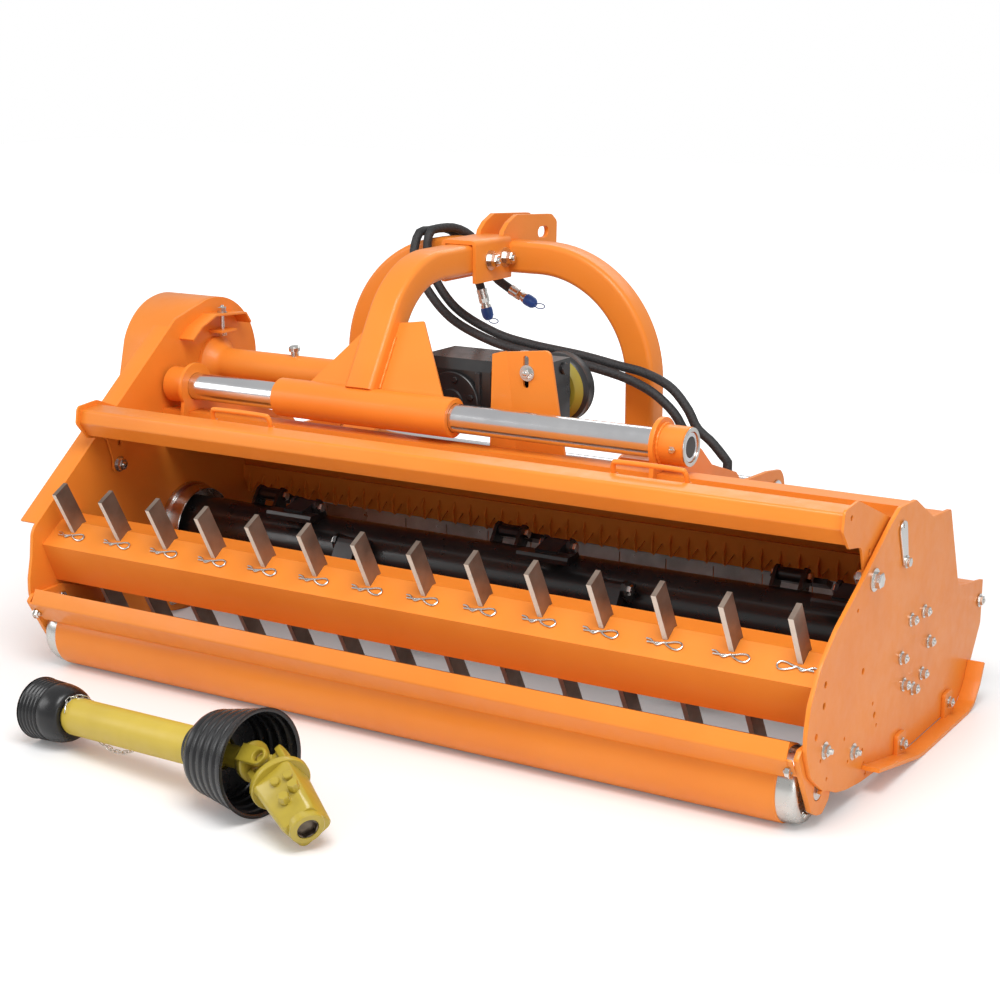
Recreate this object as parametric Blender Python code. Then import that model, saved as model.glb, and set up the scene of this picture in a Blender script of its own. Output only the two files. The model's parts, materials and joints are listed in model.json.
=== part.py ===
"""Offset tractor mulcher: a side-shifting flail mulcher on a three-point headstock.

Metres, +Z up. X runs across the machine, +Y points to the tractor, and the floor is Z = 0.
Every size is set out from the middle between the side plates (X), from the foot of the
rake tines (Y) and from the floor (Z). The empty "machine" moves all of it so that the
origin lies under the middle of the whole part.
"""

import math

import bmesh
import bpy
from mathutils import Matrix, Vector

# Whole machine
ORIGIN = (-0.0615, 0.2931, 0.0)
WORKING_WIDTH = 1.750
SIDE_PLATE = 0.008
FIT = 0.0003
RUN = 0.0005
HALF = WORKING_WIDTH / 2
OUTSIDE = HALF + SIDE_PLATE

# Box beam and deck
BEAM_BACK = 0.360
BEAM_DEPTH = 0.050
BEAM_TOP = 0.489
BEAM_HEIGHT = 0.080
BEAM_WALL = 0.005
BEAM_FRONT = BEAM_BACK + BEAM_DEPTH
DECK_SHEET = 0.006
DECK_SHELF = 0.429
DECK_LIP_FRONT = 0.830
DECK_LIP_TOP = 0.233
DECK_LIP_BOTTOM = 0.150

# Rotor
ROTOR_Y = 0.435
ROTOR_Z = 0.199
ROTOR_RADIUS = 0.075
ROTOR_WALL = 0.008
ROTOR_END_GAP = 0.024
STUB_RADIUS = 0.025
PIN_RADIUS_OF_ROTOR = 0.105
LUG_THICKNESS = 0.008
LUG_SPACING = 0.060
LUG_WIDTH = 0.040
HAMMER_LENGTH = 0.070
HAMMER_WIDTH = 0.120
HAMMER_BOSS = 0.014
HAMMER_BLADE = 0.012
HAMMER_PIN = 0.006
HAMMER_SWING = math.radians(85)
FIRST_STATION = -0.670
STATION_STEP = 0.160
STATIONS = 10
HELIX_STEP = math.radians(45)
HELIX_START = math.radians(60)

# Belt drive
TOP_PULLEY_Y = 0.550
TOP_PULLEY_Z = 0.566
TOP_PULLEY_RADIUS = 0.100
ROTOR_PULLEY_RADIUS = 0.082
PULLEY_WIDTH = 0.056
PULLEY_GAP = 0.022
BELT_THICKNESS = 0.010
BELT_WIDTH = 0.050
CROSS_SHAFT_RADIUS = 0.018
COVER_DEPTH = 0.150
COVER_SHEET = 0.003
COVER_TOP_RADIUS = 0.147
COVER_BOTTOM_RADIUS = 0.122
COVER_STANDOFF = 0.007

# Gearbox and power take-off
PTO_X = -0.035
GEARBOX_LEFT = -0.260
GEARBOX_RIGHT = 0.030
GEARBOX_BACK = 0.482
GEARBOX_STEP_X = -0.078
GEARBOX_STEP = 0.018
GEARBOX_FRONT = 0.628
GEARBOX_BOTTOM = 0.492
GEARBOX_TOP = 0.648
GEARBOX_CHAMFER_BACK = 0.014
GEARBOX_CHAMFER_DOWN = 0.022
GEARBOX_WALL = 0.012
GEARBOX_COVER_X = -0.170
GEARBOX_COVER_Z = 0.556
GEARBOX_COVER_RADIUS = 0.064
GEARBOX_COVER_HEIGHT = 0.006
GEARBOX_BOSS_X = -0.030
GEARBOX_BOSS_RADIUS = 0.024
SHAFT_TUBE_RADIUS = 0.0375
SHAFT_TUBE_WALL = 0.005
SHAFT_FLANGE = 0.010
SHAFT_FLANGE_RADIUS = 0.062
INPUT_RADIUS = 0.0175
INPUT_GEAR_RADIUS = 0.048
CROSS_GEAR_RADIUS = 0.024
GUARD_RADIUS = 0.078
GUARD_WALL = 0.004
GUARD_END = 0.715
NECK_RADIUS = 0.050
NECK_LENGTH = 0.030
BRACKET_SHEET = 0.008
BRACKET_Y = 0.484
BRACKET_LEFT = -0.074
BRACKET_RIGHT = 0.083
BRACKET_TOP = 0.685
BRACKET_SLOT_X = 0.006
BRACKET_SLOT_WIDTH = 0.013
BRACKET_SLOT_LOW = 0.608
BRACKET_SLOT_HIGH = 0.663

# Headstock
HEAD_X = -0.344
TUBE = 0.072
TUBE_CORNER = 0.010
ARCH_DEPTH = 0.066
ARCH_WIDTH = 0.842
ARCH_TOP = 0.846
ARCH_OUTER_RADIUS = 0.300
ARCH_BACK = 0.920
ARCH_FOOT = 0.310
SLEEVE_RADIUS = 0.042
SLEEVE_LEFT = -0.559
SLEEVE_RIGHT = -0.108
FOOT_SLEEVE_RADIUS = 0.040
FOOT_SLEEVE_LENGTH = 0.096
LEG_TOP = 0.817
LEG_SLOPE = math.radians(58.5)
LEG_BEND = 0.200
LEG_DEPTH = 0.066
GUSSET_SHEET = 0.008
CLEVIS_GAP = 0.050
CLEVIS_PLATE = 0.012
CLEVIS_SLOT_Y = 1.092
CLEVIS_SLOT_Z = 0.853
CLEVIS_SLOT_LENGTH = 0.048
CLEVIS_SLOT_HEIGHT = 0.026
CLAMP_PLATE = 0.010
CLAMP_BACK = 0.775
CLAMP_BOTTOM = 0.762
TIE_SIZE = 0.040
TIE_Z = 0.252
LOWER_PIN_RADIUS = 0.014
LOWER_PIN_LENGTH = 0.090
LOWER_PIN_Y = 1.010
LOWER_PIN_Z = 0.300

# Slide bars and their brackets
REAR_BAR_Y = 0.390
REAR_BAR_Z = 0.543
REAR_BAR_RADIUS = 0.030
REAR_BAR_BORE = 0.021
FRONT_BAR_AHEAD = 0.020
FRONT_BAR_Y = ARCH_BACK + FRONT_BAR_AHEAD
FRONT_BAR_Z = 0.335
FRONT_BAR_RADIUS = 0.025
BAR_PLATE = 0.010
SHIFT_LEFT = 0.020
SHIFT_RIGHT = 0.230
LEFT_CLEARANCE = 0.013
RIGHT_CLEARANCE = 0.059
RIGHT_BRACKET_X = HEAD_X + ARCH_WIDTH / 2 + SHIFT_RIGHT + RIGHT_CLEARANCE
LEFT_BRACKET_X = HEAD_X - ARCH_WIDTH / 2 - SHIFT_LEFT - LEFT_CLEARANCE
BOSS_RADIUS = 0.0395
BOSS_LENGTH = 0.056
FLANGE_RADIUS = 0.053

# Side shift cylinder
CYLINDER_Y = 0.850
CYLINDER_Z = 0.335
CYLINDER_RADIUS = 0.030
CYLINDER_LENGTH = 0.390
ROD_RADIUS = 0.014
PORT_RADIUS = 0.009
PORT_HEIGHT = 0.016
PORT_UPPER_X = 0.300
PORT_LOWER_X = 0.245
HOSE_RADIUS = 0.0105

# Rake, roller, scraper, skids, flaps, comb, hood
TINES = 14
TINE_WIDTH = 0.040
TINE_THICKNESS = 0.010
TINE_PITCH = 0.1272
TINE_MIDDLE = 0.0075
TINE_LEAN = math.radians(28.4)
TINE_TOP_Y = -0.034
TINE_TOP_Z = 0.3895
TINE_LENGTH = 0.402
RAKE_SHEET = 0.006
ROLLER_Y = 0.001
ROLLER_RADIUS = 0.070
ROLLER_WALL = 0.005
ROLLER_CAP = 0.036
ROLLER_CAP_RADIUS = 0.056
ROLLER_AXLE = 0.020
ROLLER_BRACKET = 0.010
SCRAPER_SHEET = 0.004
SCRAPER_TAB = 0.006
SKID_SHEET = 0.008
SKID_WIDTH = 0.034
SKID_TAB = 0.044
SKID_TAB_TOP = 0.058
SKID_BOLTS = (0.366, 0.632)
FLAP_ROD_Y = 0.815
FLAP_ROD_Z = 0.197
FLAP_ROD_RADIUS = 0.009
FLAP_LENGTH = 0.165
FLAP_SHEET = 0.004
FLAPS = 15
FLAP_SLIT = 0.003
COMB_SHEET = 0.008
COMB_TOP = 0.305
COMB_ROOT = 0.268
COMB_TIP = 0.238
COMB_TEETH = 42
HOOD_PIVOT_Y = 0.200
HOOD_PIVOT_Z = 0.393
HOOD_SHEET = 0.004
HOOD_GUSSET = 0.006
HOOD_PIN = 0.008
HOOD_SIDE_GAP = 0.004
HANDLE_ROD = 0.005
HANDLE_WIDTH = 0.150
HANDLE_HEIGHT = 0.030
LATCH_PIVOT_Y = 0.351
LATCH_PIVOT_Z = 0.390
LATCH_TIP_Y = 0.331
LATCH_TIP_Z = 0.462
LATCH_PLATE = 0.005
LATCH_PIN = 0.006

# Rotor bearings
BEARING_DEPTH = 0.020
LEFT_BEARING_RADIUS = 0.105
RIGHT_BEARING_RADIUS = 0.082

# Loose drive shaft, on the floor behind the machine
SHAFT_LEFT = Vector((-0.562, -0.374, 0.0605))
SHAFT_RIGHT = Vector((0.035, -0.456, 0.0980))
GUARD_TUBE = 0.0355
GUARD_TUBE_WALL = 0.003
BELL_WALL = 0.0035
LEFT_BELL_RADIUS = 0.060
LEFT_BELL_LENGTH = 0.098
LEFT_BELL_DRUM = 0.050
LEFT_BELL_RIBS = 5
RIGHT_BELL_RADIUS = 0.097
RIGHT_BELL_LENGTH = 0.155
RIGHT_BELL_COLLAR = 0.022
RIGHT_BELL_SHOULDER = 0.054
RIGHT_BELL_RIBS = 5
BELL_NECK = 0.0420
RIGHT_BELL_NECK = 0.0450
TELESCOPE_REST = 0.004
RIB_DEPTH = 0.006
JOINT_BEYOND_BELL = 0.021
FORK_HALF = 0.037
FORK_ARM = 0.012
FORK_WIDTH = 0.034
CROSS_RADIUS = 0.011
YOKE_END = Vector((0.200, -0.543, 0.0450))
CLUTCH_DISC_RADIUS = 0.054
CLUTCH_DISC = 0.012
CLUTCH_SHOULDER = 0.040
CLUTCH_TOP = 0.030
CLUTCH_FOOT = 0.0411
CLUTCH_SIDE = 0.0335
CLUTCH_CHAMFER = 0.010
CLUTCH_BOLT_RADIUS = 0.010
CLUTCH_BOLT_STANDS_OUT = 0.012
CLUTCH_BOLTS = (0.086, 0.116)
HUB_RADIUS = 0.031
HUB_STANDS_OUT = 0.010
HUB_BORE = 0.0175
HUB_BORE_DEPTH = 0.094


def clear_scene():
    for item in list(bpy.data.objects):
        bpy.data.objects.remove(item, do_unlink=True)


def finish(name, colour, roughness, metallic=0.0):
    """A painted, plated or moulded surface."""
    mat = bpy.data.materials.get(name)
    if mat is None:
        mat = bpy.data.materials.new(name)
        mat.use_nodes = True
        shader = mat.node_tree.nodes["Principled BSDF"]
        shader.inputs["Base Color"].default_value = (*colour, 1.0)
        shader.inputs["Roughness"].default_value = roughness
        shader.inputs["Metallic"].default_value = metallic
    return mat


def orange(name):
    return finish(name + "_paint", (0.86, 0.24, 0.03), 0.30)


def black(name):
    return finish(name + "_black", (0.012, 0.012, 0.013), 0.35)


def steel(name):
    return finish(name + "_steel", (0.55, 0.55, 0.56), 0.30, 1.0)


def chrome(name):
    return finish(name + "_chrome", (0.85, 0.85, 0.87), 0.10, 1.0)


def olive(name):
    return finish(name + "_olive", (0.50, 0.36, 0.04), 0.40)


def rubber(name):
    return finish(name + "_rubber", (0.015, 0.015, 0.015), 0.60)


def part(name, shape, mat, axis_point=(0.0, 0.0, 0.0)):
    """One named sub-part from a bmesh, with its origin at axis_point."""
    bmesh.ops.recalc_face_normals(shape, faces=shape.faces)
    bmesh.ops.translate(shape, verts=shape.verts, vec=-Vector(axis_point))
    mesh = bpy.data.meshes.new(name)
    shape.to_mesh(mesh)
    shape.free()
    item = bpy.data.objects.new(name, mesh)
    item.location = axis_point
    mesh.materials.append(mat)
    bpy.context.scene.collection.objects.link(item)
    smooth(item)
    return item


def smooth(item):
    item.data.shade_smooth()
    item.data.set_sharp_from_angle(angle=math.radians(32))


def combine(item, shapes, operation):
    """Join or cut item with each bmesh in shapes, and leave one plain mesh."""
    for shape in shapes:
        tool = part(item.name + "_tool", shape, item.data.materials[0])
        tool.hide_render = True
        tool.display_type = "WIRE"
        step = item.modifiers.new("step", "BOOLEAN")
        step.operation = operation
        step.solver = "EXACT"
        step.object = tool
        bpy.context.view_layer.update()
        graph = bpy.context.evaluated_depsgraph_get()
        mesh = bpy.data.meshes.new_from_object(item.evaluated_get(graph))
        item.modifiers.clear()
        item.data = mesh
        bpy.data.objects.remove(tool, do_unlink=True)
    smooth(item)
    return item


def join(item, *shapes):
    return combine(item, shapes, "UNION")


def cut(item, *shapes):
    return combine(item, shapes, "DIFFERENCE")


def arc(centre, radius, start, end, steps):
    """Points on a circle, from angle start to angle end in degrees."""
    points = []
    for i in range(steps + 1):
        angle = math.radians(start + (end - start) * i / steps)
        points.append((centre[0] + radius * math.cos(angle), centre[1] + radius * math.sin(angle)))
    return points


def rounded(points, steps=4):
    """A closed outline from (a, b) corners and (a, b, radius) rounded corners."""
    outline = []
    count = len(points)
    for i, point in enumerate(points):
        here = Vector(point[:2])
        if len(point) == 2:
            outline.append(tuple(here))
            continue
        before = (Vector(points[i - 1][:2]) - here).normalized()
        after = (Vector(points[(i + 1) % count][:2]) - here).normalized()
        half = before.angle(after) / 2
        reach = point[2] / math.tan(half)
        middle = here + (before + after).normalized() * (point[2] / math.sin(half))
        first = here + before * reach - middle
        last = here + after * reach - middle
        sweep = first.angle_signed(last)
        for k in range(steps + 1):
            turn = Matrix.Rotation(-sweep * k / steps, 2)
            outline.append(tuple(middle + turn @ first))
    return outline


def offset_line(points, distance):
    """An open line moved sideways, to its left when distance is positive."""
    moved = []
    for i, point in enumerate(points):
        here = Vector(point)
        sides = []
        if i > 0:
            step = (here - Vector(points[i - 1])).normalized()
            sides.append(Vector((-step.y, step.x)))
        if i < len(points) - 1:
            step = (Vector(points[i + 1]) - here).normalized()
            sides.append(Vector((-step.y, step.x)))
        side = sum(sides, Vector((0.0, 0.0))).normalized()
        moved.append(tuple(here + side * (distance / side.dot(sides[0]))))
    return moved


def sheet(points, thickness):
    """The closed outline of a folded sheet whose outer side is points."""
    return list(points) + offset_line(points, thickness)[::-1]


AXES = {"X": (1, 2, 0), "Y": (0, 2, 1), "Z": (0, 1, 2)}


def prism(outline, axis, low, high):
    """An outline pushed along an axis: (y, z) for X, (x, z) for Y, (x, y) for Z."""
    shape = bmesh.new()
    first, second, third = AXES[axis]
    verts = []
    for point in outline:
        place = [0.0, 0.0, 0.0]
        place[first], place[second], place[third] = point[0], point[1], low
        verts.append(shape.verts.new(place))
    face = shape.faces.new(verts)
    pushed = bmesh.ops.extrude_face_region(shape, geom=[face])
    along = Vector((0.0, 0.0, 0.0))
    along[third] = high - low
    top = [item for item in pushed["geom"] if isinstance(item, bmesh.types.BMVert)]
    bmesh.ops.translate(shape, verts=top, vec=along)
    bmesh.ops.recalc_face_normals(shape, faces=shape.faces)
    return shape


def block(low, high):
    corners = [(low[1], low[2]), (high[1], low[2]), (high[1], high[2]), (low[1], high[2])]
    return prism(corners, "X", low[0], high[0])


def facing(direction):
    """A rotation that turns +Z to direction."""
    return Vector(direction).to_track_quat("Z", "Y").to_matrix().to_4x4()


def turned(profile, base, direction, segments=32, phase=0.0):
    """A turned solid: (distance along direction from base, radius) points.

    A profile that starts and ends at radius 0 is closed at its poles. Any other is
    closed on itself, so it has a bore.
    """
    shape = bmesh.new()
    place = Matrix.Translation(Vector(base)) @ facing(direction)
    rings = []
    for along, radius in profile:
        if radius == 0.0:
            rings.append([shape.verts.new(place @ Vector((0.0, 0.0, along)))])
            continue
        ring = []
        for i in range(segments):
            angle = phase + math.tau * i / segments
            point = Vector((radius * math.cos(angle), radius * math.sin(angle), along))
            ring.append(shape.verts.new(place @ point))
        rings.append(ring)
    pairs = list(zip(rings, rings[1:]))
    if profile[0][1] > 0.0:
        pairs.append((rings[-1], rings[0]))
    for lower, upper in pairs:
        for i in range(segments):
            k = (i + 1) % segments
            if len(lower) == 1:
                shape.faces.new((lower[0], upper[i], upper[k]))
            elif len(upper) == 1:
                shape.faces.new((lower[i], upper[0], lower[k]))
            else:
                shape.faces.new((lower[i], upper[i], upper[k], lower[k]))
    bmesh.ops.recalc_face_normals(shape, faces=shape.faces)
    return shape


def rod(start, end, radius, segments=24):
    """A plain round bar between two points."""
    start, end = Vector(start), Vector(end)
    length = (end - start).length
    return turned([(0, 0), (0, radius), (length, radius), (length, 0)], start, end - start, segments)


def pipe(start, end, radius, bore, segments=32):
    """A round tube between two points."""
    start, end = Vector(start), Vector(end)
    length = (end - start).length
    profile = [(0, radius), (length, radius), (length, bore), (0, bore)]
    return turned(profile, start, end - start, segments)


def swept(path, section, up):
    """A closed bar that carries a section along path.

    The section is a list of (side, height) points, and up is the side direction.
    """
    shape = bmesh.new()
    rings = []
    up = Vector(up)
    for i, point in enumerate(path):
        before = Vector(path[max(i - 1, 0)])
        after = Vector(path[min(i + 1, len(path) - 1)])
        along = (after - before).normalized()
        across = up.cross(along).normalized()
        stretch = 1.0
        if 0 < i < len(path) - 1:
            step = (Vector(path[i + 1]) - Vector(point)).normalized()
            stretch = 1.0 / max(step.dot(along), 0.5)
        ring = [shape.verts.new(Vector(point) + up * a + across * (b * stretch)) for a, b in section]
        rings.append(ring)
    count = len(section)
    for lower, upper in zip(rings, rings[1:]):
        for i in range(count):
            k = (i + 1) % count
            shape.faces.new((lower[i], lower[k], upper[k], upper[i]))
    shape.faces.new(rings[0])
    shape.faces.new(rings[-1])
    bmesh.ops.recalc_face_normals(shape, faces=shape.faces)
    return shape


def box_section(width, height, corner, steps=2):
    """A rounded rectangle about the middle."""
    a, b = width / 2, height / 2
    return rounded([(-a, -b, corner), (a, -b, corner), (a, b, corner), (-a, b, corner)], steps)


def aimed(shape, base, direction, side=None):
    """A shape made about the origin along +Z, moved to base and turned to direction.

    With side, the shape's own X points along it.
    """
    turn = facing(direction)
    if side is not None:
        along = Vector(direction).normalized()
        across = (Vector(side) - along * along.dot(Vector(side))).normalized()
        third = along.cross(across)
        turn = Matrix((across, third, along)).transposed().to_4x4()
    bmesh.ops.transform(shape, matrix=Matrix.Translation(Vector(base)) @ turn, verts=shape.verts)
    return shape


def turn_about_x(shape, centre_y, centre_z, angle):
    """Turn a bmesh about a line along X."""
    bmesh.ops.rotate(
        shape,
        verts=shape.verts,
        cent=(0.0, centre_y, centre_z),
        matrix=Matrix.Rotation(angle, 3, "X"),
    )
    return shape


# Outlines that several pieces share, as (y, z)
DECK_LINE = [
    (BEAM_FRONT + FIT, BEAM_TOP - 0.009),
    (0.502, 0.437),
    (0.604, DECK_SHELF),
    (0.675, 0.258),
    (DECK_LIP_FRONT, DECK_LIP_TOP),
    (DECK_LIP_FRONT + 0.002, DECK_LIP_BOTTOM),
]
LOWER_EDGE = [
    (0.834, DECK_LIP_TOP + 0.003),
    (0.834, 0.145, 0.020),
    (0.780, 0.073, 0.040),
    (0.739, 0.033, 0.040),
    (0.700, SKID_SHEET + RUN, 0.050),
    (0.400, SKID_SHEET + RUN, 0.100),
    (0.180, 0.022),
    (0.109, 0.032),
    (0.063, 0.043),
    (0.018, 0.063, 0.010),
    (0.005, 0.065, 0.010),
    (-0.032, 0.092),
    (-0.057, 0.116),
    (-0.077, 0.146, 0.020),
    (-0.082, 0.175, 0.020),
    (-0.079, 0.196, 0.030),
    (-0.069, 0.240, 0.040),
]
ADJUSTING_HOLES = [
    (0.168, 0.234),
    (0.235, 0.132),
    (-0.006, 0.261),
    (-0.009, 0.224),
    (-0.039, 0.178),
    (0.181, 0.080),
]


def height_on(line, y):
    """The height of an open (y, z) line at y."""
    for a, b in zip(line, line[1:]):
        if min(a[0], b[0]) <= y <= max(a[0], b[0]):
            return a[1] + (b[1] - a[1]) * (y - a[0]) / (b[0] - a[0])
    return line[-1][1]


def place_on(line, z):
    """The y of an open (y, z) line at height z."""
    return height_on([(b, a) for a, b in line], z)


def side_hole(x_low, x_high, y, z, radius, segments=12):
    """A cutter for a hole along X."""
    return rod((x_low - 0.01, y, z), (x_high + 0.01, y, z), radius, segments)


def make_side_plates():
    upper_right = [
        (-0.0285, 0.298, 0.060),
        (0.037, 0.346, 0.080),
        (0.140, 0.399),
        (0.279, 0.478, 0.080),
        (0.324, 0.497, 0.020),
        (0.404, 0.494, 0.010),
        (0.502, 0.441, 0.010),
        (0.606, 0.433, 0.010),
        (0.677, 0.261, 0.010),
    ]
    outline = rounded(LOWER_EDGE + upper_right, 3)
    right = part("side_plate_right", prism(outline, "X", HALF, OUTSIDE), orange("side_plate_right"))
    for y, z in ADJUSTING_HOLES:
        cut(right, side_hole(HALF, OUTSIDE, y, z, 0.0065, 10))
    cut(
        right,
        side_hole(HALF, OUTSIDE, HOOD_PIVOT_Y, HOOD_PIVOT_Z, HOOD_PIN + RUN, 16),
        side_hole(HALF, OUTSIDE, LATCH_PIVOT_Y, LATCH_PIVOT_Z, LATCH_PIN + RUN, 16),
        side_hole(HALF, OUTSIDE, FLAP_ROD_Y, FLAP_ROD_Z, FLAP_ROD_RADIUS + RUN, 16),
    )

    top = arc((TOP_PULLEY_Y + 0.005, TOP_PULLEY_Z + 0.006), COVER_TOP_RADIUS, 110, 0, 10)
    upper_left = [(-0.062, 0.300, 0.020), (0.416, 0.685, 0.030)] + top + [(0.690, 0.420), (0.677, 0.261)]
    outline = rounded(LOWER_EDGE + upper_left, 3)
    left = part("side_plate_left", prism(outline, "X", -OUTSIDE, -HALF), orange("side_plate_left"))
    edge_low = Vector((-0.048, 0.3115))
    edge_high = Vector((0.398, 0.6705))
    strip = sheet([tuple(edge_low), tuple(edge_high)], -0.004)
    join(left, prism(strip, "X", -OUTSIDE - 0.042, -OUTSIDE + 0.002))
    hat = [(0.427, 0.640), (0.459, 0.666), (0.513, 0.687), (0.621, 0.680), (0.639, 0.655)]
    join(left, prism(sheet(hat, -0.005), "X", -HALF - 0.002, -HALF + 0.040))
    for y, z in ADJUSTING_HOLES[:3]:
        cut(left, side_hole(-OUTSIDE, -HALF, y, z, 0.0065, 10))
    cut(
        left,
        side_hole(-OUTSIDE, -HALF, HOOD_PIVOT_Y, HOOD_PIVOT_Z, HOOD_PIN + RUN, 16),
        side_hole(-OUTSIDE, -HALF, FLAP_ROD_Y, FLAP_ROD_Z, FLAP_ROD_RADIUS + RUN, 16),
        side_hole(-OUTSIDE, -HALF, ROTOR_Y, ROTOR_Z, STUB_RADIUS + 0.010, 24),
        side_hole(-OUTSIDE, -HALF, TOP_PULLEY_Y, TOP_PULLEY_Z, CROSS_SHAFT_RADIUS + 0.004, 24),
    )


def make_deck():
    inner = -HALF + FIT, HALF - FIT
    under = offset_line(DECK_LINE, -DECK_SHEET)
    under[0] = (DECK_LINE[0][0], height_on(under, DECK_LINE[0][0]))
    part("deck_shell", prism(DECK_LINE + under[::-1], "X", *inner), orange("deck_shell"))

    low, high = BEAM_TOP - BEAM_HEIGHT, BEAM_TOP
    beam = part(
        "box_beam",
        block((inner[0], BEAM_BACK, low), (inner[1], BEAM_FRONT, high)),
        orange("box_beam"),
    )
    cut(
        beam,
        block(
            (inner[0] - 0.01, BEAM_BACK + BEAM_WALL, low + BEAM_WALL),
            (inner[1] + 0.01, BEAM_FRONT - BEAM_WALL, high - BEAM_WALL),
        ),
    )

    pitch = (inner[1] - inner[0]) / COMB_TEETH
    points = [(inner[0], COMB_TOP), (inner[0], COMB_ROOT)]
    for i in range(COMB_TEETH):
        start = inner[0] + pitch * i
        points.append((start + pitch * 0.5, COMB_TIP))
        points.append((start + pitch, COMB_ROOT))
    points.append((inner[1], COMB_TOP))
    front = place_on(offset_line(DECK_LINE[2:4], -DECK_SHEET - FIT), COMB_TOP)
    comb = prism(points, "Y", front - COMB_SHEET, front)
    part("counter_comb", comb, orange("counter_comb"))


def tine_centre(i):
    return TINE_MIDDLE + (i - (TINES - 1) / 2) * TINE_PITCH


def tine_shape(x, extra, length):
    """A flat bar leaning to the rear, as a solid tine or, with extra, as its slot."""
    half_x = TINE_THICKNESS / 2 + extra
    half_y = TINE_WIDTH / 2 + extra
    shape = block(
        (x - half_x, TINE_TOP_Y - half_y, TINE_TOP_Z - length),
        (x + half_x, TINE_TOP_Y + half_y, TINE_TOP_Z),
    )
    return turn_about_x(shape, TINE_TOP_Y, TINE_TOP_Z, TINE_LEAN)


def make_rake():
    line = [(0.088, 0.236), (0.081, 0.306), (0.022, 0.304), (-0.038, 0.263), (-0.001, 0.177)]
    beam = prism(sheet(line, RAKE_SHEET), "X", -HALF + FIT, HALF - FIT)
    beam = part("rake_beam", beam, orange("rake_beam"))
    for i in range(TINES):
        cut(beam, tine_shape(tine_centre(i), FIT, TINE_LENGTH * 0.45))
        part(f"rake_tine_{i + 1:02d}", tine_shape(tine_centre(i), 0.0, TINE_LENGTH), steel("rake_tine"))


def make_roller():
    inside = HALF - ROLLER_BRACKET
    shoulder = inside - 0.005
    tube_end = shoulder - ROLLER_CAP
    axle_end = HALF - RUN
    bore = 0.006
    profile = []
    for side in (-1, 1):
        profile_side = [
            (side * axle_end, bore),
            (side * axle_end, ROLLER_AXLE),
            (side * shoulder, ROLLER_AXLE),
            (side * shoulder, ROLLER_CAP_RADIUS),
            (side * tube_end, ROLLER_RADIUS - 0.002),
            (side * tube_end, ROLLER_RADIUS),
        ]
        profile += profile_side if side < 0 else profile_side[::-1]
    inner = [
        (tube_end, bore),
        (tube_end, ROLLER_RADIUS - ROLLER_WALL),
        (-tube_end, ROLLER_RADIUS - ROLLER_WALL),
        (-tube_end, bore),
    ]
    axis = (0.0, ROLLER_Y, ROLLER_RADIUS)
    roller = turned(profile + inner, axis, (1, 0, 0), 40)
    part("rear_roller", roller, orange("rear_roller"), axis)

    outline = rounded(
        [
            (-0.094, 0.152, 0.006),
            (-0.080, 0.166, 0.010),
            (-0.040, 0.166, 0.020),
            (0.010, 0.168, 0.020),
            (0.158, 0.116, 0.020),
            (0.150, 0.076, 0.020),
            (0.066, 0.066, 0.020),
            (0.050, 0.033, 0.010),
            (0.022, 0.0165, 0.020),
            (-0.003, 0.0225, 0.015),
            (-0.0265, 0.036, 0.010),
            (-0.058, 0.089, 0.060),
        ],
        4,
    )
    for name, low in (("roller_bracket_right", inside), ("roller_bracket_left", -HALF + FIT)):
        thickness = ROLLER_BRACKET - FIT
        bracket = part(name, prism(outline, "X", low, low + thickness), orange(name))
        cut(bracket, side_hole(low, low + thickness, ROLLER_Y, ROLLER_RADIUS, ROLLER_AXLE + RUN, 24))

    line = [(-0.086, 0.180), (-0.100, 0.150), (-0.066, 0.108)]
    strip = prism(sheet(line, SCRAPER_SHEET), "X", -inside + SCRAPER_TAB, inside - SCRAPER_TAB)
    scraper = part("roller_scraper", strip, orange("roller_scraper"))
    for side in (-1, 1):
        ends = sorted((side * (inside - SCRAPER_TAB - 0.001), side * (inside - FIT)))
        join(scraper, prism(sheet(line[1:], SCRAPER_SHEET), "X", *ends))


def make_skids():
    line = [
        (0.180, 0.046),
        (0.385, 0.004),
        (0.425, 0.000),
        (0.680, 0.000),
        (0.715, 0.008),
        (0.748, 0.042),
        (0.770, 0.081),
    ]
    for name, side in (("skid_right", 1), ("skid_left", -1)):
        edges = sorted((side * (OUTSIDE + FIT), side * (OUTSIDE + FIT + SKID_WIDTH)))
        skid = part(name, prism(sheet(line, SKID_SHEET), "X", *edges), orange(name))
        tab = sorted((side * (OUTSIDE + FIT), side * (OUTSIDE + FIT + SKID_SHEET)))
        for y in SKID_BOLTS:
            ends = (y - SKID_TAB / 2, y + SKID_TAB / 2)
            outline = [(end, height_on(line, end) + SKID_SHEET / 2) for end in ends]
            outline += [(ends[1], SKID_TAB_TOP), (ends[0], SKID_TAB_TOP)]
            join(skid, prism(outline, "X", *tab))


def bar_plate_outline():
    """The plate that carries both slide bars and straddles the beam and the deck."""
    seat = offset_line(DECK_LINE[1:5], FIT)
    front = arc((FRONT_BAR_Y, FRONT_BAR_Z), 0.050, -100, 60, 8)
    flange = arc((REAR_BAR_Y, REAR_BAR_Z), FLANGE_RADIUS, 20, 215, 12)
    return (
        [(BEAM_FRONT + 2 * FIT, BEAM_TOP + FIT), (BEAM_FRONT + 0.012, BEAM_TOP - 0.007)]
        + seat
        + front
        + [
            (0.900, 0.387),
            (0.779, 0.392),
            (0.765, 0.370),
            (0.745, 0.368),
            (0.747, 0.405),
            (0.730, 0.420),
            (0.609, 0.460),
            (0.559, 0.501),
            (0.480, 0.545),
        ]
        + flange
        + [
            (0.338, 0.470),
            (0.345, 0.448),
            (BEAM_BACK - FIT, 0.448),
            (BEAM_BACK - FIT, BEAM_TOP + FIT),
        ]
    )


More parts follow.
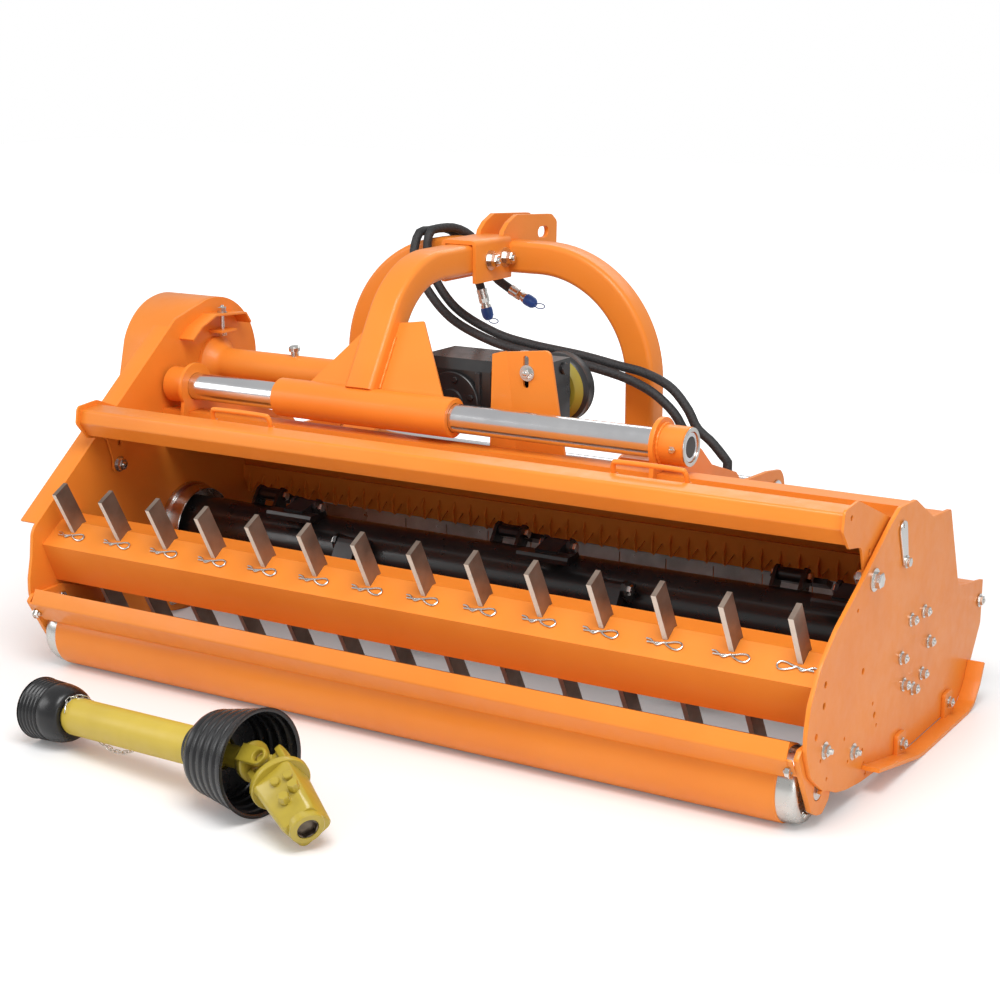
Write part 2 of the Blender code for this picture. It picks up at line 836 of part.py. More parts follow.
def make_bars():
    outline = bar_plate_outline()
    for name, low, boss_side in (
        ("bar_bracket_right", RIGHT_BRACKET_X, 1),
        ("bar_bracket_left", LEFT_BRACKET_X - BAR_PLATE, -1),
    ):
        high = low + BAR_PLATE
        bracket = part(name, prism(outline, "X", low, high), orange(name))
        face = high if boss_side > 0 else low
        start = face - boss_side * 0.002
        end = face + boss_side * BOSS_LENGTH
        join(bracket, rod((start, REAR_BAR_Y, REAR_BAR_Z), (end, REAR_BAR_Y, REAR_BAR_Z), BOSS_RADIUS, 36))
        cut(
            bracket,
            side_hole(min(low, end), max(high, end), REAR_BAR_Y, REAR_BAR_Z, REAR_BAR_RADIUS + FIT, 36),
            side_hole(low, high, FRONT_BAR_Y, FRONT_BAR_Z, FRONT_BAR_RADIUS + FIT, 28),
        )
        if boss_side > 0:
            join(bracket, block((low - 0.100, BEAM_FRONT + 0.002, 0.4805), (low + 0.002, 0.470, 0.500)))
    right_end = RIGHT_BRACKET_X + BAR_PLATE + BOSS_LENGTH
    left_end = LEFT_BRACKET_X - BAR_PLATE - BOSS_LENGTH
    rear = pipe(
        (left_end, REAR_BAR_Y, REAR_BAR_Z),
        (right_end, REAR_BAR_Y, REAR_BAR_Z),
        REAR_BAR_RADIUS,
        REAR_BAR_BORE,
        36,
    )
    part("rear_slide_bar", rear, chrome("rear_slide_bar"))
    front = rod(
        (LEFT_BRACKET_X - BAR_PLATE - 0.006, FRONT_BAR_Y, FRONT_BAR_Z),
        (RIGHT_BRACKET_X + BAR_PLATE + 0.006, FRONT_BAR_Y, FRONT_BAR_Z),
        FRONT_BAR_RADIUS,
        28,
    )
    part("front_slide_bar", front, chrome("front_slide_bar"))


def arch_path(steps=7):
    """The arch's centre line in (x, z), from the left foot over the top to the right foot."""
    half = ARCH_WIDTH / 2 - TUBE / 2
    top = ARCH_TOP - TUBE / 2
    bend = ARCH_OUTER_RADIUS - TUBE / 2
    points = [(HEAD_X - half, ARCH_FOOT)]
    points += arc((HEAD_X - half + bend, top - bend), bend, 180, 90, steps)
    points += arc((HEAD_X + half - bend, top - bend), bend, 90, 0, steps)
    points.append((HEAD_X + half, ARCH_FOOT))
    return points


def make_headstock():
    middle_y = ARCH_BACK + ARCH_DEPTH / 2
    path = [(x, middle_y, z) for x, z in arch_path()]
    section = box_section(ARCH_DEPTH, TUBE, TUBE_CORNER)
    arch = part("headstock_arch", swept(path, section, (0.0, 1.0, 0.0)), orange("headstock_arch"))
    leg_half = ARCH_WIDTH / 2 - TUBE / 2
    for side in (-1, 1):
        x = HEAD_X + side * leg_half
        low = x - FOOT_SLEEVE_LENGTH / 2
        high = x + FOOT_SLEEVE_LENGTH / 2
        start = (low, FRONT_BAR_Y, FRONT_BAR_Z)
        join(arch, rod(start, (high, FRONT_BAR_Y, FRONT_BAR_Z), FOOT_SLEEVE_RADIUS, 28))
        ear = rounded(
            [
                (ARCH_BACK + 0.020, 0.420),
                (ARCH_BACK + 0.020, 0.240),
                (LOWER_PIN_Y + 0.010, 0.240, 0.020),
                (LOWER_PIN_Y + 0.045, LOWER_PIN_Z, 0.030),
                (ARCH_BACK + 0.080, 0.420, 0.020),
            ],
            3,
        )
        face = x + side * (TUBE / 2 - 0.004)
        edges = sorted((face - side * 0.012, face))
        join(arch, prism(ear, "X", *edges))
        pin_start = face - side * 0.006
        pin_end = face + side * LOWER_PIN_LENGTH
        join(
            arch,
            rod(
                (pin_start, LOWER_PIN_Y, LOWER_PIN_Z),
                (pin_end, LOWER_PIN_Y, LOWER_PIN_Z),
                LOWER_PIN_RADIUS,
                20,
            ),
        )
    tie_left = HEAD_X - leg_half - 0.026
    tie_right = HEAD_X + leg_half + 0.026
    tie_y = ARCH_BACK + 0.045
    join(
        arch,
        block(
            (tie_left, tie_y - TIE_SIZE / 2, TIE_Z - TIE_SIZE / 2),
            (tie_right, tie_y + TIE_SIZE / 2, TIE_Z + TIE_SIZE / 2),
        ),
    )
    lug = rounded(
        [
            (tie_y - 0.005, TIE_Z + 0.012),
            (CYLINDER_Y, CYLINDER_Z + 0.026, 0.020),
            (CYLINDER_Y - 0.026, CYLINDER_Z, 0.020),
            (CYLINDER_Y, TIE_Z - 0.010, 0.020),
            (tie_y - 0.005, TIE_Z - 0.015),
        ],
        4,
    )
    join(arch, prism(lug, "X", HEAD_X - 0.016, HEAD_X - 0.004))

    plate = rounded(
        [
            (ARCH_BACK + 0.004, 0.790),
            (ARCH_BACK + 0.004, LEG_TOP + LEG_DEPTH / 2 + 0.004),
            (0.905, LEG_TOP + LEG_DEPTH / 2 + 0.004),
            (0.911, LEG_TOP + LEG_DEPTH / 2 + 0.020, 0.006),
            (0.933, 0.888, 0.015),
            (0.971, 0.904, 0.020),
            (1.134, 0.892, 0.020),
            (1.158, 0.874, 0.012),
            (1.156, 0.815, 0.020),
            (1.120, 0.790, 0.020),
            (ARCH_BACK + ARCH_DEPTH + 0.020, 0.780, 0.020),
            (ARCH_BACK + ARCH_DEPTH - 0.006, 0.790),
        ],
        3,
    )
    slot = []
    reach = (CLEVIS_SLOT_LENGTH - CLEVIS_SLOT_HEIGHT) / 2
    slot += arc((CLEVIS_SLOT_Y + reach, CLEVIS_SLOT_Z), CLEVIS_SLOT_HEIGHT / 2, -90, 90, 6)
    slot += arc((CLEVIS_SLOT_Y - reach, CLEVIS_SLOT_Z), CLEVIS_SLOT_HEIGHT / 2, 90, 270, 6)
    for side in (-1, 1):
        edges = sorted((HEAD_X + side * CLEVIS_GAP / 2, HEAD_X + side * (CLEVIS_GAP / 2 + CLEVIS_PLATE)))
        join(arch, prism(plate, "X", *edges))
    cut(arch, prism(slot, "X", HEAD_X - 0.060, HEAD_X + 0.060))

    half = TUBE / 2 + RUN
    outer = half + CLAMP_PLATE
    top = LEG_TOP + LEG_DEPTH / 2 + RUN
    for side in (-1, 1):
        edges = sorted((HEAD_X + side * half, HEAD_X + side * outer))
        cheek = rounded(
            [
                (CLAMP_BACK, CLAMP_BOTTOM, 0.010),
                (CLAMP_BACK, top + CLAMP_PLATE),
                (ARCH_BACK + 0.010, top + CLAMP_PLATE),
                (ARCH_BACK + 0.010, CLAMP_BOTTOM),
            ],
            3,
        )
        join(arch, prism(cheek, "X", *edges))
    join(
        arch,
        block(
            (HEAD_X - outer, CLAMP_BACK, top),
            (HEAD_X + outer, ARCH_BACK + 0.010, top + CLAMP_PLATE),
        ),
    )
    for side in (-1, 1):
        x = HEAD_X + side * leg_half
        cut(
            arch,
            side_hole(
                x - FOOT_SLEEVE_LENGTH / 2,
                x + FOOT_SLEEVE_LENGTH / 2,
                FRONT_BAR_Y,
                FRONT_BAR_Z,
                FRONT_BAR_RADIUS + RUN,
                28,
            ),
        )

    sleeve = rod(
        (SLEEVE_LEFT, REAR_BAR_Y, REAR_BAR_Z),
        (SLEEVE_RIGHT, REAR_BAR_Y, REAR_BAR_Z),
        SLEEVE_RADIUS,
        36,
    )
    leg = part("headstock_leg", sleeve, orange("headstock_leg"))
    reach = LEG_BEND * math.tan(LEG_SLOPE / 2)
    meet_y = 0.420 + (LEG_TOP - 0.600) / math.tan(LEG_SLOPE)
    foot = (
        meet_y - (LEG_TOP - 0.570) / math.tan(LEG_SLOPE),
        0.570,
    )
    bend_centre = (meet_y + reach, LEG_TOP - LEG_BEND)
    points = [foot] + arc(bend_centre, LEG_BEND, 90 + math.degrees(LEG_SLOPE), 90, 6)
    points.append((ARCH_BACK - RUN, LEG_TOP))
    path = [(HEAD_X, y, z) for y, z in points]
    join(leg, swept(path, box_section(TUBE, LEG_DEPTH, TUBE_CORNER), (1.0, 0.0, 0.0)))
    base_z = REAR_BAR_Z + 0.032
    base_y = foot[0] + (base_z - foot[1]) / math.tan(LEG_SLOPE)
    rise = 0.144 / math.sin(LEG_SLOPE)
    web = [
        (SLEEVE_LEFT + 0.066, base_z),
        (SLEEVE_RIGHT - 0.036, base_z),
        (HEAD_X + TUBE / 2 + 0.058, base_z + rise),
        (HEAD_X - TUBE / 2 - 0.002, base_z + rise * 0.88),
    ]
    gusset = prism(web, "Y", base_y - GUSSET_SHEET / 2, base_y + GUSSET_SHEET / 2)
    turn_about_x(gusset, base_y, base_z, LEG_SLOPE - math.pi / 2)
    join(leg, gusset)
    cut(
        leg,
        side_hole(SLEEVE_LEFT, SLEEVE_RIGHT, REAR_BAR_Y, REAR_BAR_Z, REAR_BAR_RADIUS + RUN, 36),
    )


def make_cylinder():
    axis = (CYLINDER_Y, CYLINDER_Z)
    right = RIGHT_BRACKET_X - FIT
    left = right - CYLINDER_LENGTH
    profile = [
        (0, ROD_RADIUS + RUN),
        (0, CYLINDER_RADIUS),
        (CYLINDER_LENGTH, CYLINDER_RADIUS),
        (CYLINDER_LENGTH, 0.008),
        (CYLINDER_LENGTH - 0.020, 0.008),
        (CYLINDER_LENGTH - 0.020, CYLINDER_RADIUS - 0.006),
        (0.020, CYLINDER_RADIUS - 0.006),
        (0.020, ROD_RADIUS + RUN),
    ]
    barrel = part(
        "cylinder_barrel", turned(profile, (left, *axis), (1, 0, 0), 28), black("cylinder_barrel")
    )
    for x in (PORT_UPPER_X, PORT_LOWER_X):
        low = CYLINDER_Z + CYLINDER_RADIUS - 0.004
        high = CYLINDER_Z + CYLINDER_RADIUS + PORT_HEIGHT
        join(barrel, rod((x, CYLINDER_Y, low), (x, CYLINDER_Y, high), PORT_RADIUS, 14))
    lug_face = HEAD_X - 0.004 + FIT
    piston = left + 0.045
    profile = [
        (0, 0),
        (0, ROD_RADIUS + 0.006),
        (0.022, ROD_RADIUS + 0.006),
        (0.022, ROD_RADIUS),
        (piston - lug_face, ROD_RADIUS),
        (piston - lug_face, CYLINDER_RADIUS - 0.006 - RUN),
        (piston + 0.022 - lug_face, CYLINDER_RADIUS - 0.006 - RUN),
        (piston + 0.022 - lug_face, 0),
    ]
    part("cylinder_rod", turned(profile, (lug_face, *axis), (1, 0, 0), 24), chrome("cylinder_rod"))


def make_gearbox():
    back = GEARBOX_BACK + GEARBOX_STEP
    outline = [
        (GEARBOX_BACK, GEARBOX_BOTTOM),
        (GEARBOX_FRONT, GEARBOX_BOTTOM),
        (GEARBOX_FRONT, GEARBOX_TOP),
        (GEARBOX_BACK + GEARBOX_CHAMFER_BACK, GEARBOX_TOP),
        (GEARBOX_BACK, GEARBOX_TOP - GEARBOX_CHAMFER_DOWN),
    ]
    housing = part(
        "gearbox_housing", prism(outline, "X", GEARBOX_LEFT, GEARBOX_RIGHT), black("gearbox_housing")
    )
    cut(
        housing,
        block(
            (GEARBOX_STEP_X, GEARBOX_BACK - 0.01, GEARBOX_BOTTOM - 0.01),
            (GEARBOX_RIGHT + 0.01, back, GEARBOX_TOP + 0.01),
        ),
    )
    axis_y, axis_z = TOP_PULLEY_Y, TOP_PULLEY_Z
    left_face = GEARBOX_LEFT - NECK_LENGTH
    front_face = GEARBOX_FRONT + NECK_LENGTH
    join(
        housing,
        rod(
            (GEARBOX_COVER_X, GEARBOX_BACK - GEARBOX_COVER_HEIGHT, GEARBOX_COVER_Z),
            (GEARBOX_COVER_X, GEARBOX_BACK + 0.004, GEARBOX_COVER_Z),
            GEARBOX_COVER_RADIUS,
            32,
        ),
        rod(
            (GEARBOX_BOSS_X, BRACKET_Y + BRACKET_SHEET + FIT, axis_z),
            (GEARBOX_BOSS_X, back + 0.004, axis_z),
            GEARBOX_BOSS_RADIUS,
            20,
        ),
        rod((left_face, axis_y, axis_z), (GEARBOX_LEFT + 0.004, axis_y, axis_z), NECK_RADIUS, 28),
        rod((PTO_X, GEARBOX_FRONT - 0.004, axis_z), (PTO_X, front_face, axis_z), NECK_RADIUS, 28),
    )
    cavity_left = PTO_X - INPUT_GEAR_RADIUS - 0.018
    cut(
        housing,
        block(
            (cavity_left, GEARBOX_BACK + GEARBOX_WALL, GEARBOX_BOTTOM + GEARBOX_WALL),
            (
                GEARBOX_STEP_X - 0.002,
                GEARBOX_FRONT - GEARBOX_WALL,
                GEARBOX_TOP - GEARBOX_CHAMFER_DOWN,
            ),
        ),
        block(
            (GEARBOX_STEP_X - 0.010, back + 0.005, GEARBOX_BOTTOM + GEARBOX_WALL),
            (
                GEARBOX_RIGHT - GEARBOX_WALL,
                GEARBOX_FRONT - GEARBOX_WALL,
                GEARBOX_TOP - GEARBOX_WALL,
            ),
        ),
        rod(
            (left_face - 0.01, axis_y, axis_z),
            (cavity_left + 0.01, axis_y, axis_z),
            CROSS_SHAFT_RADIUS + RUN,
            24,
        ),
        rod(
            (PTO_X, GEARBOX_FRONT - GEARBOX_WALL - 0.01, axis_z),
            (PTO_X, front_face + 0.01, axis_z),
            INPUT_RADIUS + RUN,
            24,
        ),
    )

    mesh_gap = 0.002
    input_gear_back = CROSS_GEAR_RADIUS + mesh_gap
    input_end = GUARD_END - 0.012
    profile = [
        (CROSS_GEAR_RADIUS * 0.55, 0),
        (CROSS_GEAR_RADIUS * 0.55, INPUT_GEAR_RADIUS * 0.50),
        (input_gear_back, INPUT_GEAR_RADIUS),
        (input_gear_back + 0.006, INPUT_GEAR_RADIUS * 0.8),
        (input_gear_back + 0.006, INPUT_RADIUS),
        (input_end - axis_y, INPUT_RADIUS),
        (input_end - axis_y, 0),
    ]
    apex = (PTO_X, axis_y, axis_z)
    shaft = turned(profile, apex, (0, 1, 0), 24)
    part("input_shaft", shaft, steel("input_shaft"), apex)

    pulley_near = -(OUTSIDE + COVER_STANDOFF + PULLEY_GAP)
    pulley_far = pulley_near - PULLEY_WIDTH
    cross_gear_back = INPUT_GEAR_RADIUS + mesh_gap
    to_pulley = PTO_X - pulley_near
    profile = [
        (INPUT_GEAR_RADIUS * 0.60, 0),
        (INPUT_GEAR_RADIUS * 0.60, CROSS_GEAR_RADIUS * 0.50),
        (cross_gear_back, CROSS_GEAR_RADIUS * 0.94),
        (cross_gear_back + 0.006, CROSS_GEAR_RADIUS * 0.8),
        (cross_gear_back + 0.006, CROSS_SHAFT_RADIUS),
        (to_pulley, CROSS_SHAFT_RADIUS),
        (to_pulley, TOP_PULLEY_RADIUS),
        (to_pulley + PULLEY_WIDTH, TOP_PULLEY_RADIUS),
        (to_pulley + PULLEY_WIDTH, 0),
    ]
    cross = turned(profile, apex, (-1, 0, 0), 36)
    part("drive_pulley", cross, steel("drive_pulley"), apex)

    rotor_pulley = pipe(
        (pulley_far, ROTOR_Y, ROTOR_Z),
        (pulley_near, ROTOR_Y, ROTOR_Z),
        ROTOR_PULLEY_RADIUS,
        STUB_RADIUS + FIT,
        36,
    )
    part("rotor_pulley", rotor_pulley, steel("rotor_pulley"), (0.0, ROTOR_Y, ROTOR_Z))

    make_belt((pulley_near + pulley_far) / 2)
    make_belt_cover()

    tube_right = left_face - FIT
    tube_left = -HALF + FIT
    length = tube_right - tube_left
    profile = [
        (0, SHAFT_FLANGE_RADIUS),
        (SHAFT_FLANGE, SHAFT_FLANGE_RADIUS),
        (SHAFT_FLANGE + 0.030, SHAFT_TUBE_RADIUS),
        (length - SHAFT_FLANGE, SHAFT_TUBE_RADIUS),
        (length - SHAFT_FLANGE, NECK_RADIUS),
        (length, NECK_RADIUS),
        (length, SHAFT_TUBE_RADIUS - SHAFT_TUBE_WALL),
        (0, SHAFT_TUBE_RADIUS - SHAFT_TUBE_WALL),
    ]
    tube = turned(profile, (tube_left, axis_y, axis_z), (1, 0, 0), 32)
    part("shaft_tube", tube, orange("shaft_tube"))

    guard = [
        (0, GUARD_RADIUS),
        (GUARD_END - front_face - FIT, GUARD_RADIUS),
        (GUARD_END - front_face - FIT, GUARD_RADIUS - GUARD_WALL),
        (GUARD_WALL, GUARD_RADIUS - GUARD_WALL),
        (GUARD_WALL, INPUT_RADIUS + 0.008),
        (0, INPUT_RADIUS + 0.008),
    ]
    guard = turned(guard, (PTO_X, front_face + FIT, axis_z), (0, 1, 0), 36)
    part("pto_guard", guard, olive("pto_guard"))

    plate = rounded(
        [
            (BRACKET_LEFT, 0.470),
            (BRACKET_RIGHT + 0.020, 0.470),
            (BRACKET_RIGHT - 0.004, 0.590, 0.050),
            (BRACKET_RIGHT - 0.020, BRACKET_TOP, 0.014),
            (BRACKET_LEFT + 0.006, BRACKET_TOP - 0.014, 0.014),
        ],
        4,
    )
    bracket = part(
        "gearbox_bracket",
        prism(plate, "Y", BRACKET_Y, BRACKET_Y + BRACKET_SHEET),
        orange("gearbox_bracket"),
    )
    ends = (BRACKET_Y, BRACKET_Y + BRACKET_SHEET)
    seat = offset_line(DECK_LINE[:3], FIT)
    foot = [(ends[0], 0.482), (ends[1], 0.482)]
    foot += [(end, height_on(seat, end)) for end in ends[::-1]]
    join(bracket, prism(foot, "X", BRACKET_LEFT, BRACKET_RIGHT + 0.020))
    radius = BRACKET_SLOT_WIDTH / 2
    slot = arc((BRACKET_SLOT_X, BRACKET_SLOT_HIGH), radius, 0, 180, 6)
    slot += arc((BRACKET_SLOT_X, BRACKET_SLOT_LOW), radius, 180, 360, 6)
    cut(bracket, prism(slot, "Y", BRACKET_Y - 0.01, BRACKET_Y + BRACKET_SHEET + 0.01))


def belt_outline(extra, steps=24):
    """The line round both pulleys, extra outside their rims, in (y, z)."""
    top = Vector((TOP_PULLEY_Y, TOP_PULLEY_Z))
    bottom = Vector((ROTOR_Y, ROTOR_Z))
    big = TOP_PULLEY_RADIUS + extra
    small = ROTOR_PULLEY_RADIUS + extra
    return pill(top, big, bottom, small, steps)


def pill(top, big, bottom, small, steps=14):
    """The outline round two circles joined by their outer tangents."""
    along = top - bottom
    lean = math.degrees(math.atan2(along.y, along.x))
    spread = math.degrees(math.acos((big - small) / along.length))
    points = arc(top, big, lean + spread, lean - spread, steps)
    points += arc(bottom, small, lean - spread, lean + spread - 360, steps)
    return points


def ring_prism(outer, inner, low, high):
    """A closed band between two outlines with as many points each, pushed along X."""
    shape = bmesh.new()
    loops = []
    for outline, x in ((outer, low), (outer, high), (inner, high), (inner, low)):
        loops.append([shape.verts.new((x, y, z)) for y, z in outline])
    count = len(outer)
    for a, b in zip(loops, loops[1:] + loops[:1]):
        for i in range(count):
            k = (i + 1) % count
            shape.faces.new((a[i], a[k], b[k], b[i]))
    bmesh.ops.recalc_face_normals(shape, faces=shape.faces)
    return shape


def make_belt(middle_x):
    band = ring_prism(
        belt_outline(BELT_THICKNESS + RUN),
        belt_outline(RUN),
        middle_x - BELT_WIDTH / 2,
        middle_x + BELT_WIDTH / 2,
    )
    part("drive_belt", band, rubber("drive_belt"))


def cover_outline(inset):
    return pill(
        Vector((TOP_PULLEY_Y + 0.005, TOP_PULLEY_Z + 0.006)),
        COVER_TOP_RADIUS - inset,
        Vector((ROTOR_Y, ROTOR_Z)),
        COVER_BOTTOM_RADIUS - inset,
        16,
    )


def make_belt_cover():
    near = -(OUTSIDE + FIT)
    far = near - COVER_DEPTH - COVER_STANDOFF
    cover = part("belt_cover", prism(cover_outline(0.0), "X", far, near), orange("belt_cover"))
    cut(cover, prism(cover_outline(COVER_SHEET), "X", far + COVER_SHEET, near + 0.01))


def station_x(k):
    return FIRST_STATION + STATION_STEP * k


def station_angle(k):
    return HELIX_START + HELIX_STEP * k


def pin_point(angle):
    return (
        ROTOR_Y + PIN_RADIUS_OF_ROTOR * math.cos(angle),
        ROTOR_Z + PIN_RADIUS_OF_ROTOR * math.sin(angle),
    )


def make_rotor():
    axis = (0.0, ROTOR_Y, ROTOR_Z)
    body = HALF - ROTOR_END_GAP
    bore = 0.008
    right = HALF - RUN
    left = -(OUTSIDE + COVER_STANDOFF + PULLEY_GAP + PULLEY_WIDTH)
    profile = [
        (left, bore),
        (left, STUB_RADIUS),
        (-body, STUB_RADIUS),
        (-body, ROTOR_RADIUS),
        (body, ROTOR_RADIUS),
        (body, STUB_RADIUS),
        (right, STUB_RADIUS),
        (right, bore),
        (body - 0.012, bore),
        (body - 0.012, ROTOR_RADIUS - ROTOR_WALL),
        (-body + 0.012, ROTOR_RADIUS - ROTOR_WALL),
        (-body + 0.012, bore),
    ]
    rotor = part("rotor_tube", turned(profile, axis, (1, 0, 0), 36), black("rotor_tube"), axis)
    for k in range(STATIONS):
        for turn in (0.0, math.pi):
            angle = station_angle(k) + turn
            for side in (-1, 1):
                x = station_x(k) + side * LUG_SPACING / 2
                outline = [(ROTOR_RADIUS - 0.004, -LUG_WIDTH / 2), (ROTOR_RADIUS - 0.004, LUG_WIDTH / 2)]
                outline += arc((PIN_RADIUS_OF_ROTOR, 0.0), 0.018, 70, -70, 3)
                placed = [(ROTOR_Y + a, ROTOR_Z + b) for a, b in outline]
                lug = prism(placed, "X", x - LUG_THICKNESS / 2, x + LUG_THICKNESS / 2)
                join(rotor, turn_about_x(lug, ROTOR_Y, ROTOR_Z, angle))
            y, z = pin_point(angle)
            reach = LUG_SPACING / 2
            join(rotor, rod((station_x(k) - reach, y, z), (station_x(k) + reach, y, z), HAMMER_PIN, 8))

    for name, low, high, radius, profile_bore in (
        ("rotor_bearing_left", -HALF + FIT, -HALF + BEARING_DEPTH, LEFT_BEARING_RADIUS, RUN),
        ("rotor_bearing_right", HALF - BEARING_DEPTH, HALF - FIT, RIGHT_BEARING_RADIUS, RUN),
    ):
        ring = pipe((low, ROTOR_Y, ROTOR_Z), (high, ROTOR_Y, ROTOR_Z), radius, STUB_RADIUS + profile_bore, 36)
        part(name, ring, steel(name))


def make_hammers():
    """Hinged flail hammers at the stations that show, each lying where its weight puts it."""
    shown = [(0, 0.0, -1), (1, 0.0, 1), (2, 0.0, 1), (4, math.pi, -1), (5, math.pi, 1), (6, math.pi, 1)]
    inner_half = LUG_SPACING / 2 - LUG_THICKNESS / 2 - RUN
    for number, (k, turn, lean) in enumerate(shown, 1):
        pin_angle = station_angle(k) + turn
        y, z = pin_point(pin_angle)
        x = station_x(k)
        neck = [
            (HAMMER_LENGTH - 0.020, -0.010),
            (HAMMER_LENGTH - 0.020, 0.010),
        ] + arc((0.0, 0.0), HAMMER_BOSS, 70, 290, 6)
        placed = [(y + a, z + b) for a, b in neck]
        shape = prism(placed, "X", x - inner_half, x + inner_half)
        direction = pin_angle + lean * HAMMER_SWING
        turn_about_x(shape, y, z, direction)
        hammer = part(f"hammer_{number:02d}", shape, black("hammer"), (x, y, z))
        blade = [
            (HAMMER_LENGTH - 0.034, -HAMMER_BLADE / 2 + 0.003),
            (HAMMER_LENGTH - 0.004, -HAMMER_BLADE / 2 - 0.002),
            (HAMMER_LENGTH, -HAMMER_BLADE / 2 + 0.004),
            (HAMMER_LENGTH, HAMMER_BLADE / 2 + 0.002),
            (HAMMER_LENGTH - 0.034, HAMMER_BLADE / 2 + 0.002),
        ]
        placed = [(y + a, z + b) for a, b in blade]
        blade = prism(placed, "X", x - HAMMER_WIDTH / 2, x + HAMMER_WIDTH / 2)
        join(hammer, turn_about_x(blade, y, z, direction))
        cut(hammer, side_hole(x - inner_half, x + inner_half, y, z, HAMMER_PIN + RUN, 12))


def make_hood():
    inside = HALF - HOOD_SIDE_GAP
    line = [(0.107, 0.474), (0.084, 0.505), (0.090, 0.533), (0.140, 0.537), (0.318, 0.466)]
    axis = (0.0, HOOD_PIVOT_Y, HOOD_PIVOT_Z)
    hood = part(
        "rear_hood", prism(sheet(line, -HOOD_SHEET), "X", -inside, inside), orange("rear_hood"), axis
    )
    gusset = rounded(
        [
            (0.112, 0.530),
            (0.141, 0.5345),
            (0.312, 0.466),
            (0.300, 0.455, 0.010),
            (0.226, 0.440, 0.030),
            (HOOD_PIVOT_Y + 0.018, HOOD_PIVOT_Z + 0.010, 0.010),
            (HOOD_PIVOT_Y + 0.018, HOOD_PIVOT_Z - 0.018, 0.014),
            (HOOD_PIVOT_Y - 0.018, HOOD_PIVOT_Z - 0.018, 0.014),
            (HOOD_PIVOT_Y - 0.018, HOOD_PIVOT_Z + 0.015, 0.010),
            (0.165, 0.458, 0.020),
            (0.112, 0.490),
        ],
        3,
    )
    for side in (-1, 1):
        edges = sorted((side * (inside - 0.0005), side * (inside - HOOD_GUSSET)))
        join(hood, prism(gusset, "X", *edges))
        pin = [side * (inside - HOOD_GUSSET + 0.001), side * (OUTSIDE + 0.001)]
        join(
            hood,
            rod((pin[0], HOOD_PIVOT_Y, HOOD_PIVOT_Z), (pin[1], HOOD_PIVOT_Y, HOOD_PIVOT_Z), HOOD_PIN, 16),
        )
    for x in (-0.483, 0.463):
        low = (x - HANDLE_WIDTH / 2, 0.160, 0.526)
        high = (x + HANDLE_WIDTH / 2, 0.160, 0.526)
        path = [
            low,
            (low[0], low[1] - 0.006, low[2] + HANDLE_HEIGHT - 0.010),
            (low[0] + 0.010, low[1] - 0.008, low[2] + HANDLE_HEIGHT),
            (high[0] - 0.010, high[1] - 0.008, high[2] + HANDLE_HEIGHT),
            (high[0], high[1] - 0.006, high[2] + HANDLE_HEIGHT - 0.010),
            high,
        ]
        join(hood, swept(path, arc((0.0, 0.0), HANDLE_ROD, 0, 315, 7), (0.0, 1.0, 0.0)))


def make_latch():
    axis = (OUTSIDE + FIT, LATCH_PIVOT_Y, LATCH_PIVOT_Z)
    pivot = Vector((LATCH_PIVOT_Y, LATCH_PIVOT_Z))
    tip = Vector((LATCH_TIP_Y, LATCH_TIP_Z))
    lever = prism(pill(tip, 0.012, pivot, 0.015, 6), "X", OUTSIDE + FIT, OUTSIDE + FIT + LATCH_PLATE)
    latch = part("hood_latch", lever, steel("hood_latch"), axis)
    join(
        latch,
        rod(
            (HALF - 0.004, LATCH_PIVOT_Y, LATCH_PIVOT_Z),
            (OUTSIDE + 0.003, LATCH_PIVOT_Y, LATCH_PIVOT_Z),
            LATCH_PIN,
            16,
        ),
    )


def make_flaps():
    axis = (0.0, FLAP_ROD_Y, FLAP_ROD_Z)
    end = OUTSIDE + 0.001
    curtain = part(
        "flap_curtain",
        rod((-end, FLAP_ROD_Y, FLAP_ROD_Z), (end, FLAP_ROD_Y, FLAP_ROD_Z), FLAP_ROD_RADIUS, 16),
        steel("flap_curtain"),
        axis,
    )
    width = 2 * (HALF - 0.004)
    pitch = width / FLAPS
    low_z = FLAP_ROD_Z - FLAP_LENGTH
    outline = [(-width / 2, FLAP_ROD_Z)]
    for i in range(FLAPS):
        start = -width / 2 + pitch * i
        inset = 0.0 if i == 0 else FLAP_SLIT / 2
        outset = 0.0 if i == FLAPS - 1 else FLAP_SLIT / 2
        outline.append((start + inset, low_z))
        outline.append((start + pitch - outset, low_z))
        if i < FLAPS - 1:
            outline.append((start + pitch - FLAP_SLIT / 2, FLAP_ROD_Z - 0.016))
            outline.append((start + pitch + FLAP_SLIT / 2, FLAP_ROD_Z - 0.016))
    outline.append((width / 2, FLAP_ROD_Z))
    join(curtain, prism(outline, "Y", FLAP_ROD_Y - FLAP_SHEET / 2, FLAP_ROD_Y + FLAP_SHEET / 2))


def bell(neck_at, shoulder_at, mouth_at, neck, shoulder, mouth, count):
    """(along, radius) points of a guard bell: a smooth dome from its neck, then ribs out to its mouth."""
    points = []
    for degrees in (0, 25, 50, 80):
        turn = math.radians(degrees)
        along = neck_at + (shoulder_at - neck_at) * (1 - math.cos(turn))
        points.append((along, neck + (shoulder - neck) * math.sin(turn)))
    for i in range(count):
        for share, depth in ((0.10, -RIB_DEPTH / 2), (0.55, RIB_DEPTH / 2)):
            t = (i + share) / count
            middle = shoulder + (mouth - RIB_DEPTH / 2 - shoulder) * t
            points.append((shoulder_at + (mouth_at - shoulder_at) * t, middle + depth))
    points.append((mouth_at, mouth))
    return points


